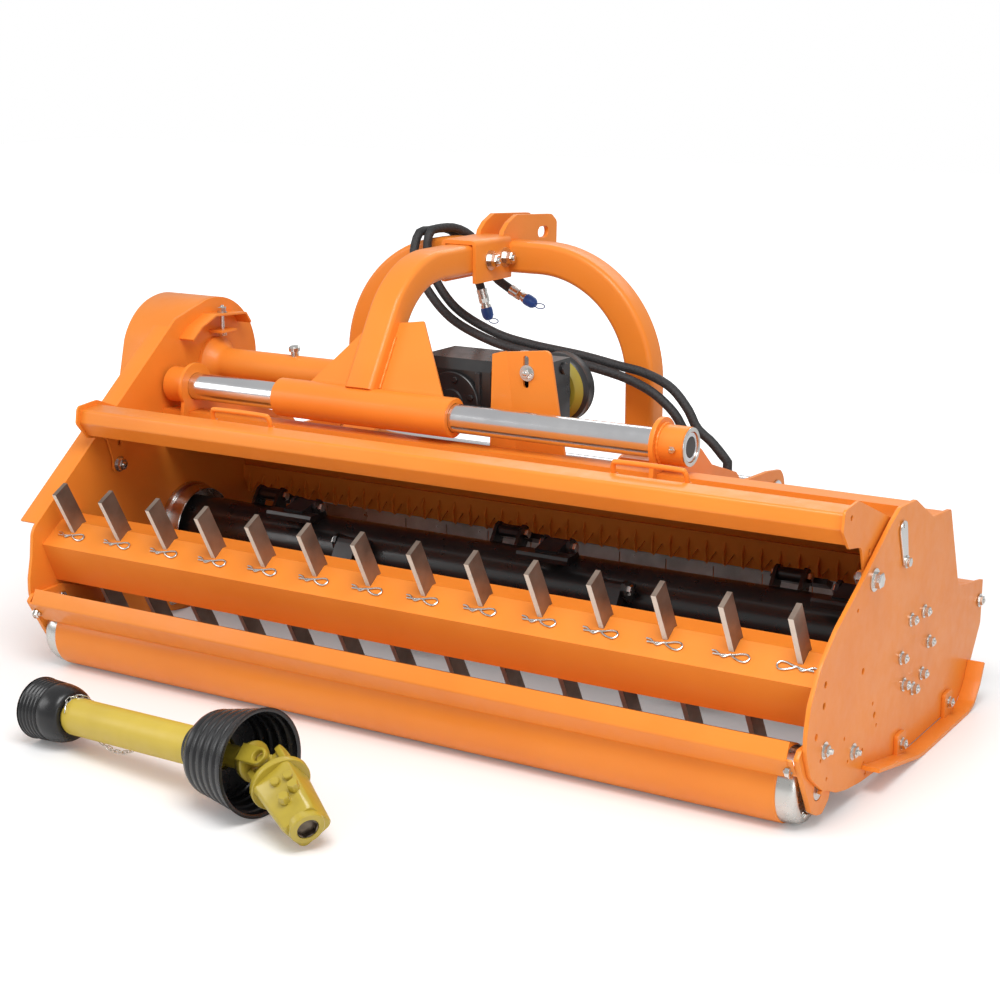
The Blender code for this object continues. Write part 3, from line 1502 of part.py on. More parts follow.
def tapered(first, second, low, high):
    """A solid along +Z from one outline at low to another, of as many points, at high."""
    shape = bmesh.new()
    lower = [shape.verts.new((a, b, low)) for a, b in first]
    upper = [shape.verts.new((a, b, high)) for a, b in second]
    for i in range(len(lower)):
        k = (i + 1) % len(lower)
        shape.faces.new((lower[i], lower[k], upper[k], upper[i]))
    shape.faces.new(lower)
    shape.faces.new(upper)
    bmesh.ops.recalc_face_normals(shape, faces=shape.faces)
    return shape


def make_driveline():
    along = (SHAFT_RIGHT - SHAFT_LEFT).normalized()
    length = (SHAFT_RIGHT - SHAFT_LEFT).length
    joint = SHAFT_RIGHT + along * JOINT_BEYOND_BELL
    bend = (YOKE_END - joint).normalized()
    pivot = along.cross(bend).normalized()

    neck_end = length - RIGHT_BELL_LENGTH
    web = length - RIGHT_BELL_LENGTH * 0.55
    slide_start = LEFT_BELL_LENGTH + 0.004
    collar_end = neck_end + RIGHT_BELL_COLLAR
    shoulder = RIGHT_BELL_RADIUS * 0.80
    outside = [(neck_end, RIGHT_BELL_NECK)]
    outside += bell(
        collar_end,
        neck_end + RIGHT_BELL_SHOULDER,
        length,
        RIGHT_BELL_NECK,
        shoulder,
        RIGHT_BELL_RADIUS,
        RIGHT_BELL_RIBS,
    )
    inside = [(a, r - BELL_WALL) for a, r in outside if a > web + 0.010]
    fork_foot = length + JOINT_BEYOND_BELL - 0.044
    profile = [
        (web, 0),
        (web, GUARD_TUBE - GUARD_TUBE_WALL),
        (slide_start, GUARD_TUBE - GUARD_TUBE_WALL),
        (slide_start, GUARD_TUBE),
        (neck_end - 0.004, GUARD_TUBE),
    ]
    profile += outside + inside[::-1]
    profile += [(web + 0.006, inside[0][1] - 0.004), (web + 0.006, 0.020), (fork_foot, 0.020), (fork_foot, 0)]
    outer = turned(profile, SHAFT_LEFT, along, 24)
    outer = part("driveline_outer", outer, olive("driveline_outer"), SHAFT_LEFT)
    wide = FORK_WIDTH / 2
    base = block((-FORK_HALF, -wide, -0.052), (FORK_HALF, wide, -0.038))
    join(outer, aimed(base, joint, along, pivot))
    for side in (-1, 1):
        edges = sorted((side * FORK_HALF, side * (FORK_HALF - FORK_ARM)))
        arm = block((edges[0], -wide, -0.042), (edges[1], wide, wide))
        join(outer, aimed(arm, joint, along, pivot))

    tube = GUARD_TUBE - GUARD_TUBE_WALL - RUN
    outside = bell(
        LEFT_BELL_LENGTH,
        LEFT_BELL_DRUM,
        0.0,
        BELL_NECK,
        LEFT_BELL_RADIUS - RIB_DEPTH / 2,
        LEFT_BELL_RADIUS,
        LEFT_BELL_RIBS,
    )
    inside = [(a, r - BELL_WALL) for a, r in outside if a < LEFT_BELL_LENGTH * 0.6]
    shelf = LEFT_BELL_LENGTH * 0.65
    profile = [
        (web - TELESCOPE_REST, 0),
        (web - TELESCOPE_REST, tube),
        (LEFT_BELL_LENGTH + 0.003, tube),
        (LEFT_BELL_LENGTH + 0.003, BELL_NECK - RIB_DEPTH),
    ]
    profile += outside + inside[::-1]
    profile += [(shelf, inside[0][1] - 0.004), (shelf, 0.022), (0.030, 0.022), (0.030, 0)]
    inner = turned(profile, SHAFT_LEFT, along, 24)
    inner = part("driveline_inner", inner, olive("driveline_inner"), SHAFT_LEFT)
    for side in (-1, 1):
        edges = sorted((side * FORK_HALF, side * (FORK_HALF - FORK_ARM)))
        arm = block((edges[0], -wide, -0.020), (edges[1], wide, 0.034))
        join(inner, aimed(arm, SHAFT_LEFT, along, pivot))
    foot = block((-FORK_HALF, -wide, 0.026), (FORK_HALF, wide, 0.040))
    join(inner, aimed(foot, SHAFT_LEFT, along, pivot))

    reach = (YOKE_END - joint).length
    disc_start = 0.044
    disc_end = disc_start + CLUTCH_DISC
    block_end = reach - HUB_STANDS_OUT
    disc = turned(
        [
            (disc_start, 0),
            (disc_start, CLUTCH_DISC_RADIUS),
            (disc_end, CLUTCH_DISC_RADIUS),
            (disc_end, 0),
        ],
        joint,
        bend,
        32,
    )
    yoke = part("clutch_yoke", disc, olive("clutch_yoke"), joint)
    shoulder = box_section(2 * CLUTCH_SHOULDER, 2 * CLUTCH_SHOULDER, CLUTCH_CHAMFER, 1)
    nose = rounded(
        [
            (-CLUTCH_TOP, -CLUTCH_SIDE, CLUTCH_CHAMFER),
            (CLUTCH_FOOT, -CLUTCH_SIDE, CLUTCH_CHAMFER),
            (CLUTCH_FOOT, CLUTCH_SIDE, CLUTCH_CHAMFER),
            (-CLUTCH_TOP, CLUTCH_SIDE, CLUTCH_CHAMFER),
        ],
        1,
    )
    join(yoke, aimed(tapered(shoulder, nose, disc_end - 0.002, block_end), joint, bend, pivot))
    join(yoke, rod(joint + bend * (block_end - 0.004), YOKE_END, HUB_RADIUS, 32))
    cut(yoke, rod(YOKE_END - bend * HUB_BORE_DEPTH, YOKE_END + bend * 0.01, HUB_BORE, 24))
    for k, height in enumerate(CLUTCH_BOLTS):
        side = CLUTCH_SIDE * (0.45 - 0.9 * k)
        head = (-CLUTCH_SHOULDER - CLUTCH_BOLT_STANDS_OUT, side, height)
        bolt = rod((-CLUTCH_TOP, side, height), head, CLUTCH_BOLT_RADIUS, 6)
        join(yoke, aimed(bolt, joint, bend, pivot))
    for side in (-1, 1):
        edges = sorted((side * FORK_HALF, side * (FORK_HALF - FORK_ARM)))
        arm = block((-wide, edges[0], -wide), (wide, edges[1], 0.052))
        join(yoke, aimed(arm, joint, bend, pivot))
    cross = FORK_HALF - FORK_ARM - RUN
    join(yoke, rod(joint - pivot * cross, joint + pivot * cross, CROSS_RADIUS, 14))
    third = bend.cross(pivot)
    join(yoke, rod(joint - third * FORK_HALF, joint + third * FORK_HALF, CROSS_RADIUS, 14))


def smooth_line(points, spacing):
    """Points evenly along a smooth curve through the given ones."""
    points = [Vector(point) for point in points]
    fine = []
    for i in range(len(points) - 1):
        before = points[max(i - 1, 0)]
        a, b = points[i], points[i + 1]
        after = points[min(i + 2, len(points) - 1)]
        for k in range(12):
            t = k / 12
            way = a * 2 + (b - before) * t
            way += (before * 2 - a * 5 + b * 4 - after) * t * t
            way += (a * 3 - before - b * 3 + after) * t * t * t
            fine.append(way / 2)
    fine.append(points[-1])
    total = sum((b - a).length for a, b in zip(fine, fine[1:]))
    count = max(round(total / spacing), 2)
    line = [fine[0]]
    walked = 0.0
    for a, b in zip(fine, fine[1:]):
        step = (b - a).length
        while len(line) < count and walked + step >= total * len(line) / count:
            share = (total * len(line) / count - walked) / step
            line.append(a.lerp(b, share))
        walked += step
    line.append(fine[-1])
    return line


def hose(name, points):
    """A round hose: straight between its first two points, then a smooth curve through the rest."""
    curve = bpy.data.curves.new(name, "CURVE")
    curve.dimensions = "3D"
    curve.bevel_depth = HOSE_RADIUS
    curve.bevel_resolution = 2
    curve.use_fill_caps = True
    line = [points[0]] + smooth_line(points[1:], 0.048)
    spline = curve.splines.new("POLY")
    spline.points.add(len(line) - 1)
    for point, place in zip(spline.points, line):
        point.co = (*place, 1.0)
    item = bpy.data.objects.new(name, curve)
    curve.materials.append(rubber(name))
    bpy.context.scene.collection.objects.link(item)
    return item


def make_hoses():
    start = CYLINDER_Z + CYLINDER_RADIUS + PORT_HEIGHT + FIT
    top = ARCH_TOP + HOSE_RADIUS + 0.004
    front = ARCH_BACK + ARCH_DEPTH + HOSE_RADIUS + 0.006
    hose(
        "hose_upper",
        [
            (PORT_UPPER_X, CYLINDER_Y, start),
            (PORT_UPPER_X, CYLINDER_Y, start + 0.028),
            (0.262, 0.850, 0.448),
            (0.225, 0.850, 0.476),
            (0.200, 0.852, 0.516),
            (0.152, 0.862, 0.558),
            (0.077, 0.885, 0.579),
            (0.011, 0.887, 0.589),
            (-0.084, 0.887, 0.604),
            (-0.218, 0.887, 0.618),
            (-0.315, 0.887, 0.637),
            (-0.417, 0.887, 0.682),
            (-0.476, 0.887, 0.743),
            (-0.503, 0.890, 0.800),
            (-0.507, 0.902, top - 0.006),
            (-0.500, 0.935, top + 0.004),
            (-0.478, 0.975, top + 0.002),
            (-0.452, front, top - 0.020),
            (-0.430, front + 0.006, 0.800),
            (-0.400, front + 0.016, 0.750),
            (-0.365, front + 0.022, 0.724),
            (-0.332, front + 0.022, 0.708),
        ],
    )
    hose(
        "hose_lower",
        [
            (PORT_LOWER_X, CYLINDER_Y, start),
            (PORT_LOWER_X, CYLINDER_Y, start + 0.022),
            (0.222, 0.850, 0.428),
            (0.194, 0.848, 0.468),
            (0.170, 0.846, 0.505),
            (0.122, 0.850, 0.540),
            (0.065, 0.862, 0.560),
            (0.011, 0.864, 0.574),
            (-0.084, 0.864, 0.590),
            (-0.218, 0.864, 0.604),
            (-0.315, 0.864, 0.622),
            (-0.420, 0.864, 0.664),
            (-0.490, 0.864, 0.730),
            (-0.527, 0.868, 0.795),
            (-0.533, 0.895, top - 0.008),
            (-0.526, 0.935, top - 0.002),
            (-0.510, 0.980, top - 0.001),
            (-0.490, front + 0.006, top - 0.026),
            (-0.462, front + 0.008, 0.785),
            (-0.440, front + 0.014, 0.730),
            (-0.428, front + 0.016, 0.690),
        ],
    )


clear_scene()
make_side_plates()
make_deck()
make_rake()
make_roller()
make_skids()
make_bars()
make_headstock()
make_cylinder()
make_gearbox()
make_rotor()
make_hammers()
make_hood()
make_latch()
make_flaps()
make_driveline()
make_hoses()

machine = bpy.data.objects.new("machine", None)
bpy.context.scene.collection.objects.link(machine)
machine.location = (-ORIGIN[0], -ORIGIN[1], -ORIGIN[2])
for item in list(bpy.context.scene.objects):
    if item is not machine:
        item.parent = machine
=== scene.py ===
"""Offset tractor mulcher: finishes, fasteners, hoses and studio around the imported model.

Metres, +Z up. Places on the machine are given as the maker sets them out: X from the middle
between the side plates, Y from the foot of the rake tines and Z from the floor.
"""

import json
import math

import bmesh
import bpy
from mathutils import Matrix, Vector


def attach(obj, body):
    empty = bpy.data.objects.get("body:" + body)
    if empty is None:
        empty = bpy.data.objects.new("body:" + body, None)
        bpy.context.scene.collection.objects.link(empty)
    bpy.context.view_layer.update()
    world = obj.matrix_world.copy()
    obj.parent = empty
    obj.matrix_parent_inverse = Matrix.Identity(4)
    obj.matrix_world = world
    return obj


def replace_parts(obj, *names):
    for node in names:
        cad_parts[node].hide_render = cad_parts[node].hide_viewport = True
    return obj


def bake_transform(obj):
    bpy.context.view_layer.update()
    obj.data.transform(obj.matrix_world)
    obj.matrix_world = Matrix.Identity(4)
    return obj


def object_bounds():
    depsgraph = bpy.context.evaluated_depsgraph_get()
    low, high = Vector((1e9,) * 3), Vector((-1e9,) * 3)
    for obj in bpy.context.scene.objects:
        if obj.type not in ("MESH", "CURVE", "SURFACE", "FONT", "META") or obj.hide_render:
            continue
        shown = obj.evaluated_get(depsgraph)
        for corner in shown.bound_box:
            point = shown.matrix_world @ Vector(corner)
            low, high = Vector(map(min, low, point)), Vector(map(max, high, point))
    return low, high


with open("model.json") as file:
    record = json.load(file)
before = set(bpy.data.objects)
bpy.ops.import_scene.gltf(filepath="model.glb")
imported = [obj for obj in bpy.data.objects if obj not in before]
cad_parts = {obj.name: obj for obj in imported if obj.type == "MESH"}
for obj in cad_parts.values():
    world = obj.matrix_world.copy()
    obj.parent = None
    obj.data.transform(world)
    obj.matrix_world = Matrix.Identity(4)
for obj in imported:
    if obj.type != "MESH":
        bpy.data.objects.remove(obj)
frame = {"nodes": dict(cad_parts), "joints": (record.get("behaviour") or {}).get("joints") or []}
cad_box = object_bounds()
nodes = frame["nodes"]


# The studio is a white sweep of paper, one large soft lamp over the machine's right end, a fill
# from the left, a long soft light behind and a weak card in front, so that every edge shows. The
# camera stands at chest height off the machine's right rear corner.
ROTOR_AXIS = Vector((0.0, 0.435, 0.199))
joints = {joint["name"]: joint for joint in frame["joints"]}
MIDDLE = Vector(joints["rotor_spin"]["pos_m"]) - ROTOR_AXIS
CAMERA_PLACE = Vector((2.023, -2.918, 1.342))
CAMERA_TURN = (76.10, 0.0, 31.434)
LENS = 69.81


def at(x, y, z):
    """A place on the machine, from its own setting-out lines."""
    return MIDDLE + Vector((x, y, z))


camera = bpy.data.objects.new("camera", bpy.data.cameras.new("camera"))
camera.data.lens = LENS
camera.data.sensor_width = 36.0
camera.location = at(*CAMERA_PLACE)
camera.rotation_euler = [math.radians(angle) for angle in CAMERA_TURN]
bpy.context.scene.collection.objects.link(camera)
bpy.context.scene.camera = camera
bpy.context.scene.view_settings.view_transform = "Standard"

FLOOR_COLOUR = (0.86, 0.86, 0.86, 1.0)
WHITE = (1.0, 1.0, 1.0, 1.0)
FLOOR_HALF = 14.0
FLOOR_GAP = 0.0002


def between(tree, factor, low, high, start=0.0, end=1.0, way="LINEAR"):
    """A number that goes from low to high as factor goes from start to end."""
    spread = tree.nodes.new("ShaderNodeMapRange")
    spread.interpolation_type = way
    spread.inputs["From Min"].default_value = start
    spread.inputs["From Max"].default_value = end
    spread.inputs["To Min"].default_value = low
    spread.inputs["To Max"].default_value = high
    tree.links.new(factor, spread.inputs["Value"])
    return spread.outputs["Result"]


def reckoned(tree, kind, operation, *factors):
    """The number that a math node makes of its factors."""
    node = tree.nodes.new(kind)
    node.operation = operation
    for factor, socket in zip(factors, node.inputs):
        tree.links.new(factor, socket)
    return node.outputs["Value"]


floor_mesh = bpy.data.meshes.new("floor")
corners = [(a * FLOOR_HALF, b * FLOOR_HALF, 0.0) for a, b in ((-1, -1), (1, -1), (1, 1), (-1, 1))]
floor_mesh.from_pydata(corners, [], [(0, 1, 2, 3)])
floor = bpy.data.objects.new("floor", floor_mesh)
floor.location.z = cad_box[0][2] - FLOOR_GAP
bpy.context.scene.collection.objects.link(floor)
paper = bpy.data.materials.new("paper")
paper.use_nodes = True
tree = paper.node_tree
shader = tree.nodes["Principled BSDF"]
shader.inputs["Base Color"].default_value = FLOOR_COLOUR
shader.inputs["Roughness"].default_value = 0.42
shader.inputs["Specular IOR Level"].default_value = 0.35
place = tree.nodes.new("ShaderNodeTexCoord").outputs["Object"]
away = reckoned(tree, "ShaderNodeVectorMath", "LENGTH", place)
fade = between(tree, away, 0.12, 0.75, 0.9, 3.4, "SMOOTHSTEP")
seen = tree.nodes.new("ShaderNodeLightPath").outputs["Is Camera Ray"]
glow = tree.nodes.new("ShaderNodeEmission")
glow.inputs["Color"].default_value = WHITE
tree.links.new(reckoned(tree, "ShaderNodeMath", "MULTIPLY", seen, fade), glow.inputs["Strength"])
both = tree.nodes.new("ShaderNodeAddShader")
tree.links.new(shader.outputs["BSDF"], both.inputs[0])
tree.links.new(glow.outputs["Emission"], both.inputs[1])
tree.links.new(both.outputs["Shader"], tree.nodes["Material Output"].inputs["Surface"])
floor_mesh.materials.append(paper)

world = bpy.data.worlds.new("studio")
bpy.context.scene.world = world
world.use_nodes = True
air = world.node_tree
backdrop = air.nodes["Background"]
backdrop.inputs["Color"].default_value = WHITE
rays = air.nodes.new("ShaderNodeLightPath").outputs
seen = reckoned(air, "ShaderNodeMath", "MAXIMUM", rays["Is Camera Ray"], rays["Is Transmission Ray"])
air.links.new(between(air, seen, 0.54, 1.0), backdrop.inputs["Strength"])


def lamp(name, place, aim, width, depth, power):
    """A soft box hung at place and turned to aim."""
    light = bpy.data.lights.new(name, "AREA")
    light.shape = "RECTANGLE"
    light.size = width
    light.size_y = depth
    light.energy = power
    holder = bpy.data.objects.new(name, light)
    holder.location = place
    holder.rotation_euler = (Vector(aim) - Vector(place)).to_track_quat("-Z", "Y").to_euler()
    bpy.context.scene.collection.objects.link(holder)


lamp("top_box", at(0.9, -1.3, 3.3), at(0.1, 0.2, 0.3), 2.2, 1.9, 98.0)
lamp("left_box", at(-3.4, -2.0, 1.9), at(-0.2, 0.2, 0.4), 1.8, 1.8, 30.0)
lamp("back_strip", at(-0.6, 3.8, 2.9), at(0.0, 0.6, 0.5), 3.4, 1.2, 30.0)
lamp("front_card", at(2.9, -1.4, 0.9), at(0.5, 0.1, 0.3), 1.6, 1.4, 12.0)


# The two side plates are cut from 8 mm steel sheet and carry everything between them. All the
# painted steel of the machine has this coat: orange powder baked on, smooth and glossy, and a shade
# deeper in places where it lies thick.
HALF = 0.875
OUTSIDE = 0.883
FIT = 0.0003
ROTOR = tuple(ROTOR_AXIS.yz)
SHAFT = (0.550, 0.566)
HOOD_PIVOT = (0.200, 0.393)
LATCH_PIVOT = (0.351, 0.390)
FLAP_ROD = (0.815, 0.197)
ORANGE = (0.86, 0.262, 0.032)
ORANGE_DEEP = (0.82, 0.235, 0.026)


def noise(tree, scale, detail, coordinate):
    """A noise texture over a coordinate socket."""
    cloud = tree.nodes.new("ShaderNodeTexNoise")
    cloud.inputs["Scale"].default_value = scale
    cloud.inputs["Detail"].default_value = detail
    tree.links.new(coordinate, cloud.inputs["Vector"])
    return cloud.outputs["Fac"]


def shades(tree, factor, first, second):
    """A colour between two shades."""
    blend = tree.nodes.new("ShaderNodeMix")
    blend.data_type = "RGBA"
    blend.inputs["A"].default_value = (*first, 1.0)
    blend.inputs["B"].default_value = (*second, 1.0)
    tree.links.new(factor, blend.inputs["Factor"])
    return blend.outputs["Result"]


def grained(tree, height, depth, strength):
    """Give a material a fine relief."""
    bump = tree.nodes.new("ShaderNodeBump")
    bump.inputs["Distance"].default_value = depth
    bump.inputs["Strength"].default_value = strength
    tree.links.new(height, bump.inputs["Height"])
    tree.links.new(bump.outputs["Normal"], tree.nodes["Principled BSDF"].inputs["Normal"])


def coating(
    name, light, deep, gloss, coat=0.0, metal=0.0, grain=420.0, depth=0.000004, patch=5.0, shine=0.5
):
    """A painted, plated or cast finish: cloudy shade, cloudy gloss and a fine grain."""
    finish = bpy.data.materials.new(name)
    finish.use_nodes = True
    tree = finish.node_tree
    shader = tree.nodes["Principled BSDF"]
    shader.inputs["Metallic"].default_value = metal
    shader.inputs["Coat Weight"].default_value = coat
    shader.inputs["Coat Roughness"].default_value = 0.12
    shader.inputs["Specular IOR Level"].default_value = shine
    place = tree.nodes.new("ShaderNodeTexCoord").outputs["Object"]
    cloud = between(tree, noise(tree, patch, 3.0, place), 0.0, 1.0, 0.35, 0.7)
    tree.links.new(shades(tree, cloud, light, deep), shader.inputs["Base Color"])
    haze = between(tree, noise(tree, 38.0, 4.0, place), gloss * 0.85, gloss * 1.2, 0.3, 0.7)
    tree.links.new(haze, shader.inputs["Roughness"])
    grained(tree, noise(tree, grain, 2.0, place), depth, 0.5)
    return finish


def dress(finish, *names):
    """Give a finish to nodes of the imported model."""
    for name in names:
        slots = nodes[name].material_slots
        for slot in slots:
            slot.material = finish
        if not slots:
            nodes[name].data.materials.append(finish)


def arc(centre, radius, start, end, steps):
    """Points along an arc, from one angle in degrees to another."""
    turn = [math.radians(start + (end - start) * i / steps) for i in range(steps + 1)]
    return [(centre[0] + radius * math.cos(a), centre[1] + radius * math.sin(a)) for a in turn]


def hole(a, b, radius):
    """A round hole's edge."""
    return arc((a, b), radius, 0.0, 345.0, 23)


def rounded(corners, steps=8):
    """A line from (a, b) corners, of which those with a third number are rounded to that radius."""
    line = []
    for i, corner in enumerate(corners):
        here = Vector(corner[:2])
        if len(corner) == 2:
            line.append(tuple(here))
            continue
        before = (Vector(corners[i - 1][:2]) - here).normalized()
        after = (Vector(corners[(i + 1) % len(corners)][:2]) - here).normalized()
        half = before.angle(after) / 2
        middle = here + (before + after).normalized() * (corner[2] / math.sin(half))
        first = here + before * (corner[2] / math.tan(half)) - middle
        sweep = first.angle_signed(here + after * (corner[2] / math.tan(half)) - middle)
        for k in range(steps + 1):
            line.append(tuple(middle + Matrix.Rotation(-sweep * k / steps, 2) @ first))
    return line


def finished(name, mesh, finish, body, crease=32.0):
    """An object from a mesh in the machine's own places, smooth except over sharp creases."""
    mesh.name = name
    mesh.materials.clear()
    mesh.materials.append(finish)
    mesh.shade_smooth()
    mesh.set_sharp_from_angle(angle=math.radians(crease))
    item = bpy.data.objects.new(name, mesh)
    item.location = MIDDLE
    bpy.context.scene.collection.objects.link(item)
    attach(item, body)
    return item


AXES = {
    "X": Matrix(((0, 0, 1, 0), (1, 0, 0, 0), (0, 1, 0, 0), (0, 0, 0, 1))),
    "Y": Matrix(((1, 0, 0, 0), (0, 0, -1, 0), (0, 1, 0, 0), (0, 0, 0, 1))),
    "Z": Matrix.Identity(4),
}


def cut_sheet(outline, holes, axis, low, high, edge=0.0008):
    """A mesh of a plate across an axis, cut to an outline with holes, its edges softened."""
    curve = bpy.data.curves.new("outline", "CURVE")
    curve.dimensions = "2D"
    curve.fill_mode = "BOTH"
    curve.extrude = abs(high - low) / 2 - edge
    curve.bevel_depth = edge
    curve.bevel_resolution = 1
    curve.offset = -edge
    for loop in [outline, *holes]:
        spline = curve.splines.new("POLY")
        spline.points.add(len(loop) - 1)
        spline.use_cyclic_u = True
        for point, (a, b) in zip(spline.points, loop):
            point.co = (a, b, 0.0, 1.0)
    holder = bpy.data.objects.new("outline", curve)
    mesh = bpy.data.meshes.new_from_object(holder)
    bpy.data.objects.remove(holder)
    bpy.data.curves.remove(curve)
    shift = Vector([(low + high) / 2 if letter == axis else 0.0 for letter in "XYZ"])
    mesh.transform(Matrix.Translation(shift) @ AXES[axis])
    return mesh


def welded(*meshes):
    """One mesh from several that touch or cross."""
    whole = bmesh.new()
    for mesh in meshes:
        whole.from_mesh(mesh)
        bpy.data.meshes.remove(mesh)
    mesh = bpy.data.meshes.new("welded")
    whole.to_mesh(mesh)
    whole.free()
    return mesh


orange_paint = coating("orange_paint", ORANGE, ORANGE_DEEP, 0.38, coat=0.12, shine=0.3)
LOWER_EDGE = [
    (0.834, 0.236),
    (0.834, 0.145, 0.020),
    (0.780, 0.073, 0.040),
    (0.739, 0.033, 0.040),
    (0.700, 0.0085, 0.050),
    (0.400, 0.0085, 0.100),
    (0.180, 0.022, 0.300),
    (0.109, 0.032, 0.200),
    (0.063, 0.043, 0.100),
    (0.018, 0.063, 0.012),
    (0.003, 0.066, 0.012),
    (-0.054, 0.108, 0.050),
    (-0.080, 0.158, 0.060),
    (-0.079, 0.196, 0.060),
    (-0.069, 0.240, 0.060),
]
UPPER_RIGHT = [
    (-0.0285, 0.298, 0.080),
    (0.037, 0.346, 0.080),
    (0.140, 0.399),
    (0.279, 0.478, 0.080),
    (0.324, 0.497, 0.020),
    (0.404, 0.494, 0.010),
    (0.502, 0.441, 0.010),
    (0.606, 0.433, 0.010),
    (0.677, 0.261, 0.010),
]
ADJUSTING_HOLES = [
    (0.168, 0.234), (0.235, 0.132), (-0.006, 0.261), (-0.009, 0.224), (-0.039, 0.178), (0.181, 0.080),
]
SMALL_HOLES = [
    (0.130, 0.355), (0.224, 0.157), (0.247, 0.109), (0.092, 0.133), (-0.0155, 0.128),
    (0.1125, 0.084), (0.0154, 0.085), (-0.0025, 0.066), (0.191, 0.054), (0.203, 0.032),
]
holes = [hole(y, z, 0.0062) for y, z in ADJUSTING_HOLES]
holes += [hole(y, z, 0.0036) for y, z in SMALL_HOLES]
shoulder_holes = [hole(*HOOD_PIVOT, 0.0085), hole(*LATCH_PIVOT, 0.0065), hole(*FLAP_ROD, 0.0095)]
plate = cut_sheet(rounded(LOWER_EDGE + UPPER_RIGHT), holes + shoulder_holes, "X", HALF, OUTSIDE)
right_plate = finished("right_side_plate", plate, orange_paint, "frame")
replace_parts(right_plate, "side_plate_right")

COVER_TOP = (0.555, 0.572)
COVER_TOP_RADIUS = 0.147
UPPER_LEFT = [(-0.062, 0.300, 0.040), (0.416, 0.685, 0.030), *arc(COVER_TOP, COVER_TOP_RADIUS, 110, 0, 24)]
UPPER_LEFT += [(0.690, 0.420), (0.677, 0.261)]
holes = holes[:3] + shoulder_holes[::2] + [hole(*ROTOR, 0.034), hole(*SHAFT, 0.022)]
left_sheet = cut_sheet(rounded(LOWER_EDGE + UPPER_LEFT), holes, "X", -OUTSIDE, -HALF)


def folded(line, thickness, axis, low, high, bend=0.008, edge=0.0008):
    """A mesh of sheet metal folded along a line; thickness goes to the left of the line's way."""
    corners = [line[0]] + [(*point[:2], bend) for point in line[1:-1]] + [line[-1]]
    near = rounded(corners, 6)
    far = []
    for i, point in enumerate(near):
        here = Vector(point)
        before = (here - Vector(near[i - 1])).normalized() if i else None
        after = (Vector(near[i + 1]) - here).normalized() if i + 1 < len(near) else None
        along = ((before or after) + (after or before)).normalized()
        stretch = 1.0 / max((after or before).dot(along), 0.5)
        far.append(tuple(here + Vector((-along.y, along.x)) * thickness * stretch))
    return cut_sheet(near + far[::-1], [], axis, low, high, min(edge, abs(thickness) * 0.3))


flange = folded([(-0.048, 0.3115), (0.398, 0.6705)], -0.004, "X", -OUTSIDE - 0.042, -OUTSIDE + 0.002)
hat = folded(
    [(0.427, 0.640), (0.459, 0.666), (0.513, 0.687), (0.621, 0.680), (0.639, 0.655)],
    -0.005, "X", -HALF - 0.002, -HALF + 0.040,
)
left_plate = finished("left_side_plate", welded(left_sheet, flange, hat), orange_paint, "frame")
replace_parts(left_plate, "side_plate_left")


# The deck is one 6 mm sheet folded four times between the side plates, with a box beam behind it.
# Under it hangs the counter comb, a strip with pointed teeth that the flails beat against.
DECK_LINE = [
    (0.4103, 0.480), (0.502, 0.437), (0.604, 0.429), (0.675, 0.258), (0.830, 0.233), (0.832, 0.150),
]
deck = folded(DECK_LINE, -0.006, "X", -HALF + FIT, HALF - FIT, bend=0.010)
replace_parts(finished("deck_sheet", deck, orange_paint, "frame"), "deck_shell")
dress(orange_paint, "box_beam", "counter_comb")
COMB_TEETH = 42
COMB_PITCH = 2 * HALF / COMB_TEETH
COMB_HALF = HALF - 0.004
FIN = [(0.6300, 0.272), (0.6404, 0.290), (0.6404, 0.240), (0.6330, 0.244)]
FIN_HALF = 0.002


def oblong(low, bottom, high, top):
    """The corners of an oblong."""
    return [(low, bottom), (high, bottom), (high, top), (low, top)]


fins = [cut_sheet(oblong(-COMB_HALF, 0.240, COMB_HALF, 0.262), [], "Y", 0.6492, 0.6512)]
for i in range(COMB_TEETH):
    x = -HALF + COMB_PITCH * (i + 0.5)
    fins.append(cut_sheet(FIN, [], "X", x - FIN_HALF, x + FIN_HALF))
finished("comb_fins", welded(*fins), orange_paint, "frame")


# The rake hangs fourteen flat bars of bare steel from a folded beam, leaning back so that stones
# slide off. A spring clip of 3 mm wire through the foot of each bar keeps it in its slot.
dress(orange_paint, "rake_beam")
bare_bar = coating("bare_bar", (0.33, 0.26, 0.21), (0.20, 0.15, 0.12), 0.42, metal=0.7, patch=14.0)
tree = bare_bar.node_tree
# Faces of the bars that look rearwards, towards the key lamp and the camera, are painted a pale steel colour
# and made less metallic: a painted highlight, not a ground finish.
side = tree.nodes.new("ShaderNodeSeparateXYZ")
tree.links.new(tree.nodes.new("ShaderNodeNewGeometry").outputs["Normal"], side.inputs["Vector"])
painted_lit_face = between(tree, side.outputs["Y"], 1.0, 0.0, -0.75, -0.55)
shader = tree.nodes["Principled BSDF"]
broad = shader.inputs["Base Color"].links[0].from_socket
painted_highlight = tree.nodes.new("ShaderNodeMix")
painted_highlight.data_type = "RGBA"
painted_highlight.inputs["B"].default_value = (0.72, 0.66, 0.57, 1.0)
tree.links.new(painted_lit_face, painted_highlight.inputs["Factor"])
tree.links.new(broad, painted_highlight.inputs["A"])
tree.links.new(painted_highlight.outputs["Result"], shader.inputs["Base Color"])
tree.links.new(between(tree, painted_lit_face, 0.7, 0.1), shader.inputs["Metallic"])
dress(bare_bar, *[f"rake_tine_{i:02d}" for i in range(1, 15)])
TINES = 14
TINE_PITCH = 0.1272
TINE_MIDDLE = 0.0075
CLIP_WIRE = 0.0019
CLIP_SEAT = (-0.0105, 0.2845)
CLIP_SLOPE = (0.83, 0.56)
